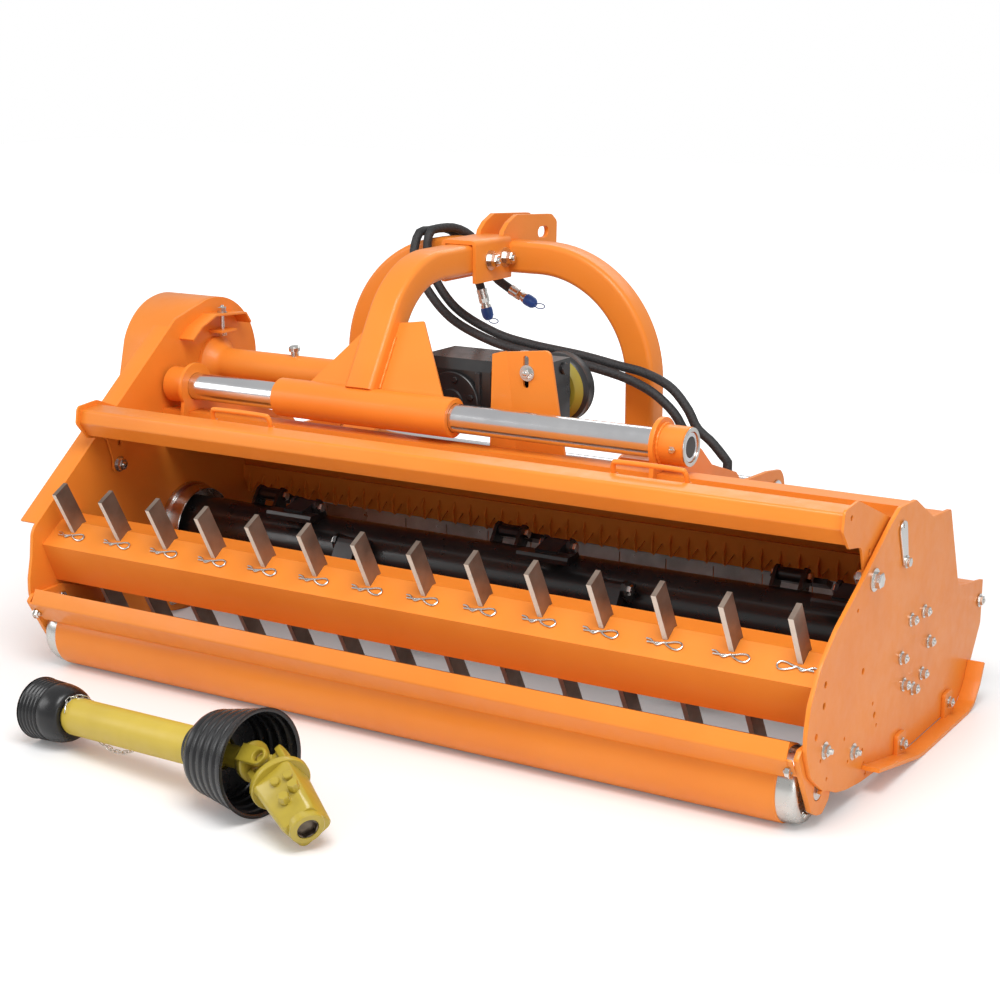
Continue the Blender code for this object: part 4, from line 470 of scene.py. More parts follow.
CLIP_LINE = [
    (-0.030, -0.003), (-0.010, -0.002), (0.010, 0.002), (0.022, 0.006), (0.033, 0.006),
    (0.038, -0.001), (0.033, -0.009), (0.022, -0.009), (0.010, -0.004), (0.002, 0.001),
    (-0.008, -0.006), (-0.016, -0.003), (-0.025, 0.003), (-0.034, 0.004),
]


def circle(centre, first, second, radius, count):
    """Points round a centre, in the plane of two directions."""
    turns = [math.tau * i / count for i in range(count)]
    return [centre + (first * math.cos(t) + second * math.sin(t)) * radius for t in turns]


def skinned(rings, closed=False):
    """A mesh over rings of points. A ring may be a single point, and open ends get a face."""
    shape = bmesh.new()
    rings = [[shape.verts.new(point) for point in ring] for ring in rings]
    pairs = list(zip(rings, rings[1:]))
    if closed:
        pairs.append((rings[-1], rings[0]))
    for lower, upper in pairs:
        sides = max(len(lower), len(upper))
        for i in range(sides):
            k = (i + 1) % sides
            corners = [lower[i % len(lower)], lower[k % len(lower)]]
            corners += [upper[k % len(upper)], upper[i % len(upper)]]
            shape.faces.new(list(dict.fromkeys(corners)))
    if not closed:
        for ring in (rings[0], rings[-1]):
            if len(ring) > 1:
                shape.faces.new(ring)
    bmesh.ops.recalc_face_normals(shape, faces=shape.faces)
    mesh = bpy.data.meshes.new("skin")
    shape.to_mesh(mesh)
    shape.free()
    return mesh


def wire(points, radius, sides=10, closed=False, swell=None):
    """A mesh of a round wire or bead along points; swell changes its radius at each of them."""
    path = [Vector(point) for point in points]
    count = len(path)
    rings = []
    across = None
    for i, here in enumerate(path):
        before = path[i - 1] if i or closed else here
        after = path[(i + 1) % count] if i + 1 < count or closed else here
        along = (after - before).normalized()
        if across is None:
            across = along.orthogonal().normalized()
        across = (across - along * across.dot(along)).normalized()
        size = radius * (swell[i] if swell else 1.0)
        rings.append(circle(here, across, along.cross(across), size, sides))
    return skinned(rings, closed)


def smooth_way(points, count):
    """Evenly counted points on a smooth curve through the given ones."""
    points = [Vector(point) for point in points]
    way = []
    for i in range(len(points) - 1):
        before, a = points[max(i - 1, 0)], points[i]
        b, after = points[i + 1], points[min(i + 2, len(points) - 1)]
        for k in range(count):
            t = k / count
            bend = (before * 2 - a * 5 + b * 4 - after) * t * t
            bend += (a * 3 - before - b * 3 + after) * t * t * t
            way.append((a * 2 + (b - before) * t + bend) / 2)
    return way + [points[-1]]


def ripples(count, swell, pace):
    """How a hand-laid weld bead swells and thins along its way."""
    return [1.0 + swell * math.sin(i * pace) for i in range(count)]


clips = []
for i in range(TINES):
    seat = Vector((TINE_MIDDLE + (i - (TINES - 1) / 2) * TINE_PITCH, *CLIP_SEAT))
    loop_side = -1 if i == TINES - 1 else 1
    line = [seat + Vector((a * loop_side, b * CLIP_SLOPE[0], b * CLIP_SLOPE[1])) for a, b in CLIP_LINE]
    clips.append(wire(smooth_way(line, 5), CLIP_WIRE))
zinc = coating("zinc_plate", (0.74, 0.73, 0.70), (0.62, 0.61, 0.58), 0.24, metal=1.0, patch=60.0)
finished("tine_clips", welded(*clips), zinc, "frame")
beads = []
for x in (-HALF + 0.004, HALF - 0.004):
    for line in ([(0.084, 0.240), (0.079, 0.300)], [(0.074, 0.301), (0.026, 0.300), (-0.030, 0.262)]):
        way = smooth_way([(x, y, z) for y, z in line], 24)
        beads.append(wire(way, 0.0032, 8, swell=ripples(len(way), 0.16, 1.9)))
finished("rake_welds", welded(*beads), orange_paint, "frame", crease=60.0)


def spun(profile, base, direction, sides=72):
    """A turned mesh from (distance along, radius) points; a radius of 0 closes it at a pole."""
    turn = Vector(direction).to_track_quat("Z", "Y").to_matrix().to_4x4()
    place = Matrix.Translation(Vector(base)) @ turn
    rings = []
    for along, radius in profile:
        turns = [math.tau * i / sides for i in range(sides if radius else 1)]
        rings.append([place @ Vector((radius * math.cos(t), radius * math.sin(t), along)) for t in turns])
    return skinned(rings, closed=bool(profile[0][1]))


def eased(profile, size=0.0015):
    """A turned profile with its corners cut by size, so that they catch the light."""
    line = []
    for i, point in enumerate(profile):
        here = Vector(point)
        if i in (0, len(profile) - 1):
            line.append(tuple(here))
            continue
        for other in (Vector(profile[i - 1]), Vector(profile[i + 1])):
            way = other - here
            line.append(tuple(here + way.normalized() * min(size, way.length * 0.4)))
    return line


def turned(base, direction, length, outer, inner=0.0, ease=0.0015, sides=72):
    """A turned rod or, with an inner radius, a tube, with its outer corners eased."""
    profile = [(0.0, inner), (0.0, outer), (length, outer), (length, inner)]
    return spun(eased(profile, ease) if ease else profile, base, direction, sides)


THREAD = 0.0011


def bolt(place, direction, across=0.019, head=0.0075, washer=0.0, shank=0.0, thick=0.0016):
    """A hexagon head, its washer and the thread end behind it, seated at place."""
    place, way = Vector(place), Vector(direction).normalized()
    meshes = []
    if washer:
        meshes.append(turned(place, way, thick, washer, across * 0.35, 0.0, 40))
    else:
        thick = 0.0
    corner = across / 2 / math.cos(math.pi / 6)
    top = thick + head
    profile = [
        (thick, 0.0), (thick, corner), (thick + head * 0.86, corner), (top, corner * 0.86), (top, 0.0),
    ]
    meshes.append(spun(profile, place, way, 6))
    if shank:
        thread = []
        for i in range(int(shank / THREAD)):
            thread += [(i * THREAD, across * 0.26), ((i + 0.5) * THREAD, across * 0.235)]
        start = place + way * (thick + head * 0.9)
        meshes.append(spun([(0.0, 0.0), *thread, (shank, 0.0)], start, way, 28))
    return welded(*meshes)


# The rear roller is a steel tube with pressed stainless caps on its ends, turning between two
# bolted tongues. A folded strip scrapes it clean.
ROLLER_AXIS = (0.001, 0.070)
DRUM_RADIUS = 0.070
DRUM_END = 0.824
TONGUE = 0.865
drum = turned((-DRUM_END, *ROLLER_AXIS), (1, 0, 0), 2 * DRUM_END, DRUM_RADIUS, 0.058, 0.002, 128)
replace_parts(finished("roller_drum", drum, orange_paint, "roller"), "rear_roller")
stainless = coating("stainless", (0.66, 0.65, 0.62), (0.58, 0.57, 0.54), 0.27, metal=1.0, grain=900.0)
CAP_EDGE = 0.0575
cap_line = [(DRUM_END - 0.004, 0.0), (DRUM_END - 0.004, 0.0672), (DRUM_END + 0.002, 0.0675)]
for t in (0.0, 0.3, 0.6, 0.9, 1.2, 1.5):
    cap_line.append((DRUM_END + 0.012 + 0.022 * math.sin(t), CAP_EDGE + 0.010 * math.cos(t)))
cap_line += [(DRUM_END + 0.035, 0.050), (DRUM_END + 0.033, 0.047), (DRUM_END + 0.033, 0.022)]
cap_line += [(TONGUE + 0.009, 0.0195), (TONGUE + 0.009, 0.0)]
CAP_SCREW_TURNS = (128, 248, 8)
CAP_SCREW_SEAT = (DRUM_END + 0.0315, 0.0475)
caps = []
screws = []
for side in (-1, 1):
    caps.append(spun(cap_line, (0.0, *ROLLER_AXIS), (side, 0, 0), 96))
    for turn in CAP_SCREW_TURNS:
        a = math.radians(turn)
        way = Vector((0.0, math.cos(a), math.sin(a)))
        seat = Vector((side * CAP_SCREW_SEAT[0], *ROLLER_AXIS)) + way * CAP_SCREW_SEAT[1]
        tilt = way * 0.45 + Vector((side * 0.9, 0, 0))
        screws.append(bolt(seat, tilt, across=0.011, head=0.0055, washer=0.0080))
finished("roller_caps", welded(*caps), stainless, "roller")
finished("roller_screws", welded(*screws), zinc, "roller")

TONGUE_LINE = [
    (-0.094, 0.152, 0.006), (-0.080, 0.166, 0.010), (-0.040, 0.166, 0.020), (0.010, 0.168, 0.020),
    (0.158, 0.116, 0.020), (0.150, 0.076, 0.020), (0.066, 0.066, 0.020), (0.050, 0.033, 0.012),
    (0.022, 0.0165, 0.020), (-0.003, 0.0225, 0.015), (-0.0265, 0.036, 0.010), (-0.058, 0.089, 0.060),
]
for side, word in ((1, "right"), (-1, "left")):
    tongue = rounded(TONGUE_LINE)
    tongue = cut_sheet(tongue, [hole(*ROLLER_AXIS, 0.021)], "X", side * TONGUE, side * (HALF - FIT))
    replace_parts(finished(f"roller_tongue_{word}", tongue, orange_paint, "frame"), f"roller_bracket_{word}")
SCRAPER_LINE = [(-0.086, 0.180), (-0.100, 0.150), (-0.066, 0.108)]
SCRAPER_TAB = [(-0.098, 0.150), (-0.083, 0.130), (-0.070, 0.114)]
scraper = [folded(SCRAPER_LINE, 0.004, "X", -TONGUE + 0.010, TONGUE - 0.010, bend=0.006)]
screws = []
for side in (-1, 1):
    ends = (side * (TONGUE - 0.012), side * (TONGUE - FIT))
    scraper.append(folded(SCRAPER_TAB, 0.004, "X", *ends, bend=0.004))
    for y, z in ((0.0, 0.142), (0.135, 0.095)):
        screws.append(bolt((side * OUTSIDE, y, z), (side, 0, 0), washer=0.0155, shank=0.008))
        screws.append(bolt((side * (TONGUE - FIT), y, z), (-side, 0, 0), shank=0.004))
    nut_seat = (side * (TONGUE - 0.006), -0.0835, 0.1255)
    screws.append(bolt(nut_seat, (-side, 0, 0), across=0.016, head=0.009, washer=0.0115, shank=0.005))
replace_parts(finished("scraper_strip", welded(*scraper), orange_paint, "frame"), "roller_scraper")
finished("roller_bolts", welded(*screws), zinc, "frame")


# Each skid is a bent 8 mm strip of steel under the side plate's edge, painted like the plate. Two
# bolts through its upright tabs hold it.
SKID_LINE = [
    (0.180, 0.046), (0.385, 0.004), (0.425, 0.000), (0.680, 0.000), (0.715, 0.008), (0.748, 0.042),
    (0.770, 0.081),
]
SKID_NEAR = OUTSIDE + FIT
SKID_THICK = 0.008
SKID_BOLT_Z = 0.036
screws = []
for side, word in ((1, "right"), (-1, "left")):
    near = side * SKID_NEAR
    meshes = [folded(SKID_LINE, SKID_THICK, "X", near, near + side * 0.034, bend=0.030)]
    for y, foot in ((0.366, 0.010), (0.632, 0.002)):
        tab = [(y - 0.022, foot), (y + 0.022, foot), (y + 0.022, 0.058, 0.010), (y - 0.022, 0.058, 0.010)]
        meshes.append(cut_sheet(rounded(tab), [], "X", near, near + side * SKID_THICK))
        head = (side * (SKID_NEAR + SKID_THICK + 0.0001), y, SKID_BOLT_Z)
        screws.append(bolt(head, (side, 0, 0), across=0.017, washer=0.012, shank=0.004))
        nut = (side * HALF, y, SKID_BOLT_Z)
        screws.append(bolt(nut, (-side, 0, 0), across=0.017, washer=0.012, shank=0.006))
    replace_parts(finished(f"skid_runner_{word}", welded(*meshes), orange_paint, "frame"), f"skid_{word}")
finished("skid_bolts", welded(*screws), zinc, "frame")


# The rotor is a black painted tube on two flanged bearings, with welded pairs of lugs in a spiral.
# A T-shaped flail of black forged steel swings on a pin between each pair.
black_paint = coating(
    "black_paint", (0.012, 0.012, 0.013), (0.020, 0.019, 0.019), 0.30, coat=0.3, grain=260.0, depth=0.00001
)
forged = coating(
    "forged_black", (0.012, 0.011, 0.012), (0.030, 0.027, 0.028), 0.34, coat=0.2, grain=140.0, depth=0.0001
)
dress(black_paint, "gearbox_housing", "cylinder_barrel", "rotor_tube")
dress(forged, *[f"hammer_{i:02d}" for i in range(1, 7)])
SKIN_HALF = 0.8508
SKIN_RADIUS = 0.0752
skin = turned((-SKIN_HALF, *ROTOR), (1, 0, 0), 2 * SKIN_HALF, SKIN_RADIUS, ease=0.0, sides=128)
finished("rotor_skin", skin, black_paint, "rotor")
PIN_CIRCLE = 0.105
PIN_HALF = 0.034
STATIONS = 10
FIRST_STATION = -0.670
STATION_PITCH = 0.160
FLAIL_SWING = math.radians(85)
MODELLED = [(0, 0.0), (1, 0.0), (2, 0.0), (4, math.pi), (5, math.pi), (6, math.pi)]
NECK = [(0.052, -0.010), (0.052, 0.010)] + arc((0.0, 0.0), 0.014, 60, 300, 16)
BLADE = [(0.036, -0.004), (0.066, -0.008), (0.070, -0.003), (0.070, 0.008), (0.036, 0.007)]
flails = []
nuts = []
for station in range(STATIONS):
    for turn in (0.0, math.pi):
        angle = math.radians(60 + 45 * station) + turn
        reach = Vector((0.0, math.cos(angle), math.sin(angle))) * PIN_CIRCLE
        place = Vector((FIRST_STATION + STATION_PITCH * station, *ROTOR)) + reach
        nuts.append(bolt(place + Vector((PIN_HALF, 0, 0)), (1, 0, 0), head=0.010))
        nuts.append(bolt(place - Vector((PIN_HALF, 0, 0)), (-1, 0, 0), head=0.007))
        if (station, turn) in MODELLED:
            continue
        hang = min((angle + FLAIL_SWING, angle - FLAIL_SWING), key=math.sin)
        neck = cut_sheet(NECK, [hole(0.0, 0.0, 0.0065)], "X", -0.025, 0.025)
        flail = welded(neck, cut_sheet(BLADE, [], "X", -0.060, 0.060))
        flail.transform(Matrix.Translation(place) @ Matrix.Rotation(hang, 4, "X"))
        flails.append(flail)
finished("more_flails", welded(*flails), forged, "rotor")
finished("flail_pins", welded(*nuts), zinc, "rotor")
BEARING_BORE = 0.0256
BEARING_FACE = 0.0197
CUP = [(0.016, 0.0985), (0.046, 0.0950), (0.046, 0.0915), (BEARING_FACE, 0.0930)]
for side, word, radius, rim in ((1, "right", 0.082, [(BEARING_FACE, 0.076)]), (-1, "left", 0.105, CUP)):
    profile = [(0.0, BEARING_BORE), (0.0, radius), (0.012, radius), *rim, (BEARING_FACE, BEARING_BORE)]
    ring = spun(eased(profile), (side * (HALF - FIT), *ROTOR), (-side, 0, 0), 96)
    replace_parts(finished(f"bearing_ring_{word}", ring, zinc, "frame"), f"rotor_bearing_{word}")
BEARING_BOLTS = [
    (0.474, 0.264), (0.403, 0.266), (0.508, 0.195), (0.359, 0.204),
    (0.477, 0.140), (0.378, 0.147), (0.430, 0.124),
]
screws = []
for y, z in BEARING_BOLTS:
    place = (OUTSIDE, y, z)
    screws.append(bolt(place, (1, 0, 0), across=0.017, head=0.010, washer=0.013, shank=0.005, thick=0.003))
finished("bearing_bolts", welded(*screws), zinc, "frame")


# Steel flaps hang side by side from a rod in front of the rotor and keep stones in. They are
# plated sheet, with a dull bloom; a bolt holds the rod at each side plate.
plated = coating("plated_sheet", (0.55, 0.55, 0.54), (0.42, 0.42, 0.41), 0.32, metal=1.0, patch=22.0)
dress(plated, "flap_curtain")
screws = []
for side in (-1, 1):
    place = (side * (OUTSIDE + 0.0012), *FLAP_ROD)
    screws.append(bolt(place, (side, 0, 0), across=0.017, washer=0.014, shank=0.004))
finished("flap_rod_bolts", welded(*screws), zinc, "flaps")


# The two hard chromed bars carry the headstock sideways. The upper one sits in round bosses on
# plates that straddle the deck; the right boss has a steel ring and a grub bolt on its end.
hard_chrome = coating(
    "hard_chrome", (0.80, 0.80, 0.81), (0.72, 0.72, 0.74), 0.20, metal=1.0, grain=900.0, depth=0.000002
)
dress(hard_chrome, "cylinder_rod")
REAR_BAR = (0.390, 0.543)
REAR_BAR_ENDS = (-0.864, 0.432)
FRONT_BAR = (0.940, 0.335)
FRONT_BAR_ENDS = (-0.814, 0.382)
BOSS = 0.0395
BOSS_LENGTH = 0.056
BAR_PLATE = 0.010
low, high = REAR_BAR_ENDS
bar = turned((low, *REAR_BAR), (1, 0, 0), high - low, 0.030, 0.021, sides=96)
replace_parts(finished("upper_slide_bar", bar, hard_chrome, "frame"), "rear_slide_bar")
low, high = FRONT_BAR_ENDS
bar = turned((low, *FRONT_BAR), (1, 0, 0), high - low, 0.025, sides=96)
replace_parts(finished("lower_slide_bar", bar, hard_chrome, "frame"), "front_slide_bar")


def beside(line, distance):
    """An open line moved sideways, to its left when distance is positive."""
    moved = []
    for i, point in enumerate(line):
        here = Vector(point)
        ways = [(here - Vector(line[i - 1])).normalized()] if i else []
        if i + 1 < len(line):
            ways.append((Vector(line[i + 1]) - here).normalized())
        sides = [Vector((-way.y, way.x)) for way in ways]
        side = sum(sides, Vector((0.0, 0.0))).normalized()
        moved.append(tuple(here + side * (distance / side.dot(sides[0]))))
    return moved


STRADDLE = [(0.4106, 0.4893), (0.422, 0.482)] + beside([(0.410, 0.480)] + DECK_LINE[1:5], 0.0004)[1:]
STRADDLE += arc(FRONT_BAR, 0.050, -100, 60, 16)
STRADDLE += [
    (0.900, 0.387), (0.779, 0.392), (0.765, 0.370), (0.745, 0.368), (0.747, 0.405), (0.730, 0.420),
    (0.609, 0.460), (0.559, 0.501), (0.480, 0.545),
]
STRADDLE += arc(REAR_BAR, 0.053, 20, 215, 28)
STRADDLE += [(0.338, 0.470), (0.345, 0.448), (0.3597, 0.448), (0.3597, 0.4893)]
BEAD_STEPS = 90
for word, low, side in (("right", 0.366, 1), ("left", -0.808, -1)):
    high = low + BAR_PLATE
    face = high if side > 0 else low
    sheet = cut_sheet(STRADDLE, [hole(*REAR_BAR, 0.0305), hole(*FRONT_BAR, 0.0255)], "X", low, high)
    boss = turned((face, *REAR_BAR), (side, 0, 0), BOSS_LENGTH, BOSS, 0.0303, 0.002, 96)
    root = Vector((face + side * 0.002, *REAR_BAR))
    bead = circle(root, Vector((0, 1, 0)), Vector((0, 0, 1)), BOSS + 0.001, BEAD_STEPS)
    meshes = [sheet, boss, wire(bead, 0.0028, 8, closed=True, swell=ripples(BEAD_STEPS, 0.18, 1.7))]
    if side > 0:
        meshes.append(cut_sheet(oblong(0.266, 0.4805, 0.368, 0.500), [], "Y", 0.412, 0.470))
    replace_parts(finished(f"bar_plate_{word}", welded(*meshes), orange_paint, "frame"), f"bar_bracket_{word}")
ring = turned((0.4322, *REAR_BAR), (1, 0, 0), 0.0022, 0.0385, 0.0305, 0.0006, 96)
grub = bolt((0.412, REAR_BAR[0] - BOSS, REAR_BAR[1]), (0, -1, 0), across=0.013, head=0.006, shank=0.004)
finished("boss_ring", welded(ring, grub), zinc, "frame")
black_plastic = coating(
    "black_plastic", (0.018, 0.018, 0.019), (0.026, 0.026, 0.027), 0.36, grain=300.0, depth=0.00001
)
plug = turned((0.4285, *REAR_BAR), (1, 0, 0), 0.004, 0.0208, 0.0, 0.001, 48)
finished("bar_plug", plug, black_plastic, "frame")


# The headstock couples the machine to the tractor and slides along both bars. Its arch is 72 mm
# square tube bent twice, with welded foot sleeves, hitch ears and pins, and two clevis plates.
HEAD_X = -0.344
TUBE = 0.072
ARCH_BACK = 0.920
ARCH_DEPTH = 0.066
LEG_HALF = 0.385


def bent_tube(way, width, height, corner, side):
    """A mesh of a square tube with round corners along a way; side is the width's direction."""
    a, b = width / 2, height / 2
    section = rounded([(-a, -b, corner), (a, -b, corner), (a, b, corner), (-a, b, corner)], 5)
    side = Vector(side)
    rings = []
    for i, point in enumerate(way):
        here = Vector(point)
        before, after = Vector(way[max(i - 1, 0)]), Vector(way[min(i + 1, len(way) - 1)])
        along = (after - before).normalized()
        across = side.cross(along).normalized()
        stretch = 1.0
        if 0 < i < len(way) - 1:
            stretch = 1.0 / max((after - here).normalized().dot(along), 0.5)
        rings.append([here + side * p + across * (q * stretch) for p, q in section])
    return skinned(rings)


ARCH_TOP = 0.846
ARCH_FOOT = 0.310
middle = ARCH_BACK + ARCH_DEPTH / 2
bend = 0.300 - TUBE / 2
top = ARCH_TOP - TUBE / 2
low, high = HEAD_X - LEG_HALF, HEAD_X + LEG_HALF
way = [(low, ARCH_FOOT)] + arc((low + bend, top - bend), bend, 180, 90, 28)
way += arc((high - bend, top - bend), bend, 90, 0, 28) + [(high, ARCH_FOOT)]
meshes = [bent_tube([(x, middle, z) for x, z in way], ARCH_DEPTH, TUBE, 0.012, (0.0, 1.0, 0.0))]
EAR = rounded([
    (0.940, 0.420), (0.940, 0.240), (1.020, 0.240, 0.020), (1.055, 0.300, 0.030), (1.000, 0.420, 0.020),
])
HITCH_PIN = (1.010, 0.300)
PIN_LINE = [(0.0, 0.0), (0.0, 0.014), (0.092, 0.014), (0.096, 0.010), (0.096, 0.0)]
pins = []
for side in (-1, 1):
    x = HEAD_X + side * LEG_HALF
    face = x + side * (TUBE / 2 - 0.004)
    meshes.append(turned((x - 0.048, *FRONT_BAR), (1, 0, 0), 0.096, 0.040, 0.0256, 0.002))
    meshes.append(cut_sheet(EAR, [], "X", face - side * 0.012, face))
    pins.append(spun(PIN_LINE, (face - side * 0.006, *HITCH_PIN), (side, 0, 0), 40))
    pins.append(turned((face, *HITCH_PIN), (side, 0, 0), 0.005, 0.022, sides=40))
tie = [(HEAD_X - 0.411, 0.965, 0.252), (HEAD_X + 0.411, 0.965, 0.252)]
meshes.append(bent_tube(tie, 0.040, 0.040, 0.006, (0.0, 1.0, 0.0)))
LUG = rounded([
    (0.960, 0.264), (0.850, 0.361, 0.020), (0.824, 0.335, 0.020), (0.850, 0.242, 0.020), (0.960, 0.237),
])
meshes.append(cut_sheet(LUG, [], "X", HEAD_X - 0.016, HEAD_X - 0.004))
CLEVIS = rounded([
    (0.924, 0.790), (0.924, 0.854), (0.905, 0.854), (0.911, 0.870, 0.006), (0.933, 0.888, 0.015),
    (0.971, 0.9034, 0.020), (1.134, 0.892, 0.020), (1.158, 0.874, 0.012), (1.156, 0.815, 0.020),
    (1.120, 0.790, 0.020), (1.006, 0.780, 0.020), (0.980, 0.790),
])
slot = arc((1.103, 0.853), 0.013, -90, 90, 16) + arc((1.081, 0.853), 0.013, 90, 270, 16)
for side in (-1, 1):
    meshes.append(cut_sheet(CLEVIS, [slot], "X", HEAD_X + side * 0.025, HEAD_X + side * 0.037, edge=0.0012))
CLAMP_HALF = 0.0465
low, high = HEAD_X - CLAMP_HALF, HEAD_X + CLAMP_HALF
strap = [(low, 0.764), (low, 0.8605), (high, 0.8605), (high, 0.764)]
meshes.append(folded(strap, -0.010, "Y", 0.775, 0.930, bend=0.012, edge=0.0012))
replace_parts(finished("arch", welded(*meshes), orange_paint, "headstock"), "headstock_arch")
finished("hitch_pins", welded(*pins), zinc, "headstock")
screws = []
for side, head, shank in ((-1, 0.014, 0.0), (1, 0.019, 0.007)):
    for y in (0.836, 0.902):
        place = (HEAD_X + side * (CLAMP_HALF + 0.0001), y, 0.812)
        screws.append(bolt(place, (side, 0, 0), 0.026, head, washer=0.0225, shank=shank, thick=0.0035))
finished("clamp_bolts", welded(*screws), zinc, "headstock")


# The leg is one more square tube, bent over into the clamp. It stands on a long sleeve round the
# upper bar, with a gusset plate welded across its foot.
SLEEVE = (-0.559, -0.108)
SLOPE_DEGREES = 58.5
SLOPE = math.radians(SLOPE_DEGREES)
LEG_TOP = 0.817
LEG_BEND = 0.200
LEG_START = 0.570
LEG_PASSES = (0.420, 0.600)
meet_y = LEG_PASSES[0] + (LEG_TOP - LEG_PASSES[1]) / math.tan(SLOPE)
foot = (meet_y - (LEG_TOP - LEG_START) / math.tan(SLOPE), LEG_START)
centre = (meet_y + LEG_BEND * math.tan(SLOPE / 2), LEG_TOP - LEG_BEND)
way = [foot] + arc(centre, LEG_BEND, 90 + SLOPE_DEGREES, 90, 26) + [(ARCH_BACK - 0.001, LEG_TOP)]
leg = bent_tube([(HEAD_X, y, z) for y, z in way], TUBE, ARCH_DEPTH, 0.012, (1.0, 0.0, 0.0))
tube = turned((SLEEVE[0], *REAR_BAR), (1, 0, 0), SLEEVE[1] - SLEEVE[0], 0.042, 0.0308, 0.002, 96)
base_z = REAR_BAR[1] + 0.032
base_y = foot[0] + (base_z - foot[1]) / math.tan(SLOPE)
rise = 0.144 / math.sin(SLOPE)
web = [(-0.493, base_z), (-0.144, base_z), (-0.250, base_z + rise), (-0.382, base_z + rise * 0.88)]
gusset = cut_sheet(web, [], "Y", base_y - 0.004, base_y + 0.004)
pivot = Matrix.Translation((0.0, base_y, base_z))
gusset.transform(pivot @ Matrix.Rotation(SLOPE - math.pi / 2, 4, "X") @ pivot.inverted())
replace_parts(finished("leg", welded(leg, tube, gusset), orange_paint, "headstock"), "headstock_leg")


def seam(ends, radius, name):
    """A painted weld bead with its ripples, between two ends."""
    fine = smooth_way(ends, 18)
    bead = wire(fine, radius, 8, swell=ripples(len(fine), 0.2, 1.8))
    return finished(name, bead, orange_paint, "headstock", crease=60.0)


up = Vector((0.0, math.cos(SLOPE), math.sin(SLOPE)))
out = Vector((0.0, -math.sin(SLOPE), math.cos(SLOPE)))
for name, x, high in (("left", -0.382, 0.100), ("right", -0.306, 0.125)):
    root = Vector((x, base_y, base_z)) + out * 0.006
    seam([root + up * 0.006, root + up * high], 0.0032, f"leg_weld_{name}")
seam([Vector((x, base_y, base_z)) + out * 0.005 for x in (-0.490, -0.146)], 0.0034, "foot_weld")


# The gearbox turns the tractor's shaft through a right angle. It is a black cast housing bolted to
# a folded bracket through a slot, with a machined cover, ribs, lugs and an oil filler.
COVER_PLACE = (-0.170, 0.556)
INPUT = (-0.035, 0.566)
cover = [
    (0.0, 0.0), (0.0, 0.066), (0.0035, 0.066), (0.005, 0.0645), (0.005, 0.030), (0.009, 0.028),
    (0.009, 0.0),
]
meshes = [spun(cover, (COVER_PLACE[0], 0.4762, COVER_PLACE[1]), (0, -1, 0))]
for k in range(6):
    a = math.tau * k / 6 + 0.3
    place = (COVER_PLACE[0] + 0.052 * math.cos(a), 0.4712, COVER_PLACE[1] + 0.052 * math.sin(a))
    meshes.append(bolt(place, (0, -1, 0), across=0.011, head=0.005))
for x in (-0.232, -0.108):
    rib = rounded([
        (x - 0.006, 0.492), (x + 0.006, 0.492), (x + 0.006, 0.625, 0.003), (x - 0.006, 0.625, 0.003),
    ])
    meshes.append(cut_sheet(rib, [], "Y", 0.476, 0.484, edge=0.0015))
for z in (0.505, 0.628):
    meshes.append(turned((-0.264, 0.600, z), (1, 0, 0), 0.300, 0.013, 0.0, 0.002, 32))
meshes.append(turned((-0.262, *SHAFT), (-1, 0, 0), 0.010, 0.056, 0.0, 0.002, 64))
meshes.append(turned((INPUT[0], 0.630, INPUT[1]), (0, 1, 0), 0.012, 0.058, 0.0, 0.002, 64))
finished("gearbox_casting", welded(*meshes), forged, "frame")
screws = [bolt((-0.060, 0.590, 0.648), (0, 0, 1), head=0.010, washer=0.013)]
for k in range(4):
    a = math.tau * k / 4 + 0.785
    place = (-0.272, SHAFT[0] + 0.046 * math.cos(a), SHAFT[1] + 0.046 * math.sin(a))
    screws.append(bolt(place, (-1, 0, 0), across=0.010, head=0.005))
finished("gearbox_screws", welded(*screws), zinc, "frame")
PANEL = rounded([
    (-0.074, 0.4467), (0.103, 0.4467), (0.079, 0.590, 0.050), (0.063, 0.685, 0.014), (-0.068, 0.671, 0.014),
])
slot = arc((0.006, 0.663), 0.0065, 0, 180, 14) + arc((0.006, 0.608), 0.0065, 180, 360, 14)
WING = [(-0.0738, 0.448), (-0.014, 0.448), (-0.040, 0.676), (-0.0678, 0.669)]
WING_FRONT = (0.470, 0.4838, 0.4838, 0.472)
WING_BACK = 0.4852
front = [(x, y, z) for (x, z), y in zip(WING, WING_FRONT)]
wing = skinned([front, [(x, WING_BACK, z) for x, z in WING]])
panel = welded(cut_sheet(PANEL, [slot], "Y", 0.484, 0.492), wing)
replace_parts(finished("gearbox_panel", panel, orange_paint, "frame"), "gearbox_bracket")
screw = bolt((0.010, 0.4839, 0.634), (0, -1, 0), head=0.009, washer=0.017, shank=0.004, thick=0.0025)
finished("panel_bolt", screw, zinc, "frame")


# A steel tube guards the shaft from the gearbox to the belt drive and carries a breather. The shaft
# for the tractor stands in a plastic cone guard with a wide black ring.
TUBE_START = -0.8747
reach = -0.290 - TUBE_START
tube = [
    (0.0, 0.033), (0.0, 0.062), (0.009, 0.062), (0.011, 0.060), (0.020, 0.050), (0.034, 0.0402),
    (0.042, 0.0375),
]
tube += [(reach - 0.011, 0.0375), (reach - 0.010, 0.049), (reach - 0.009, 0.050)]
tube += [(reach - FIT, 0.050), (reach - FIT, 0.033)]
tube = spun(tube, (TUBE_START, *SHAFT), (1, 0, 0), 96)
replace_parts(finished("shaft_sleeve", tube, orange_paint, "frame"), "shaft_tube")
breather = [
    (0.0, 0.0), (0.0, 0.009), (0.010, 0.009), (0.012, 0.013), (0.020, 0.013), (0.023, 0.010), (0.023, 0.0),
]
breather = spun(breather, (-0.640, 0.548, 0.603), (0, -0.1, 1), 32)
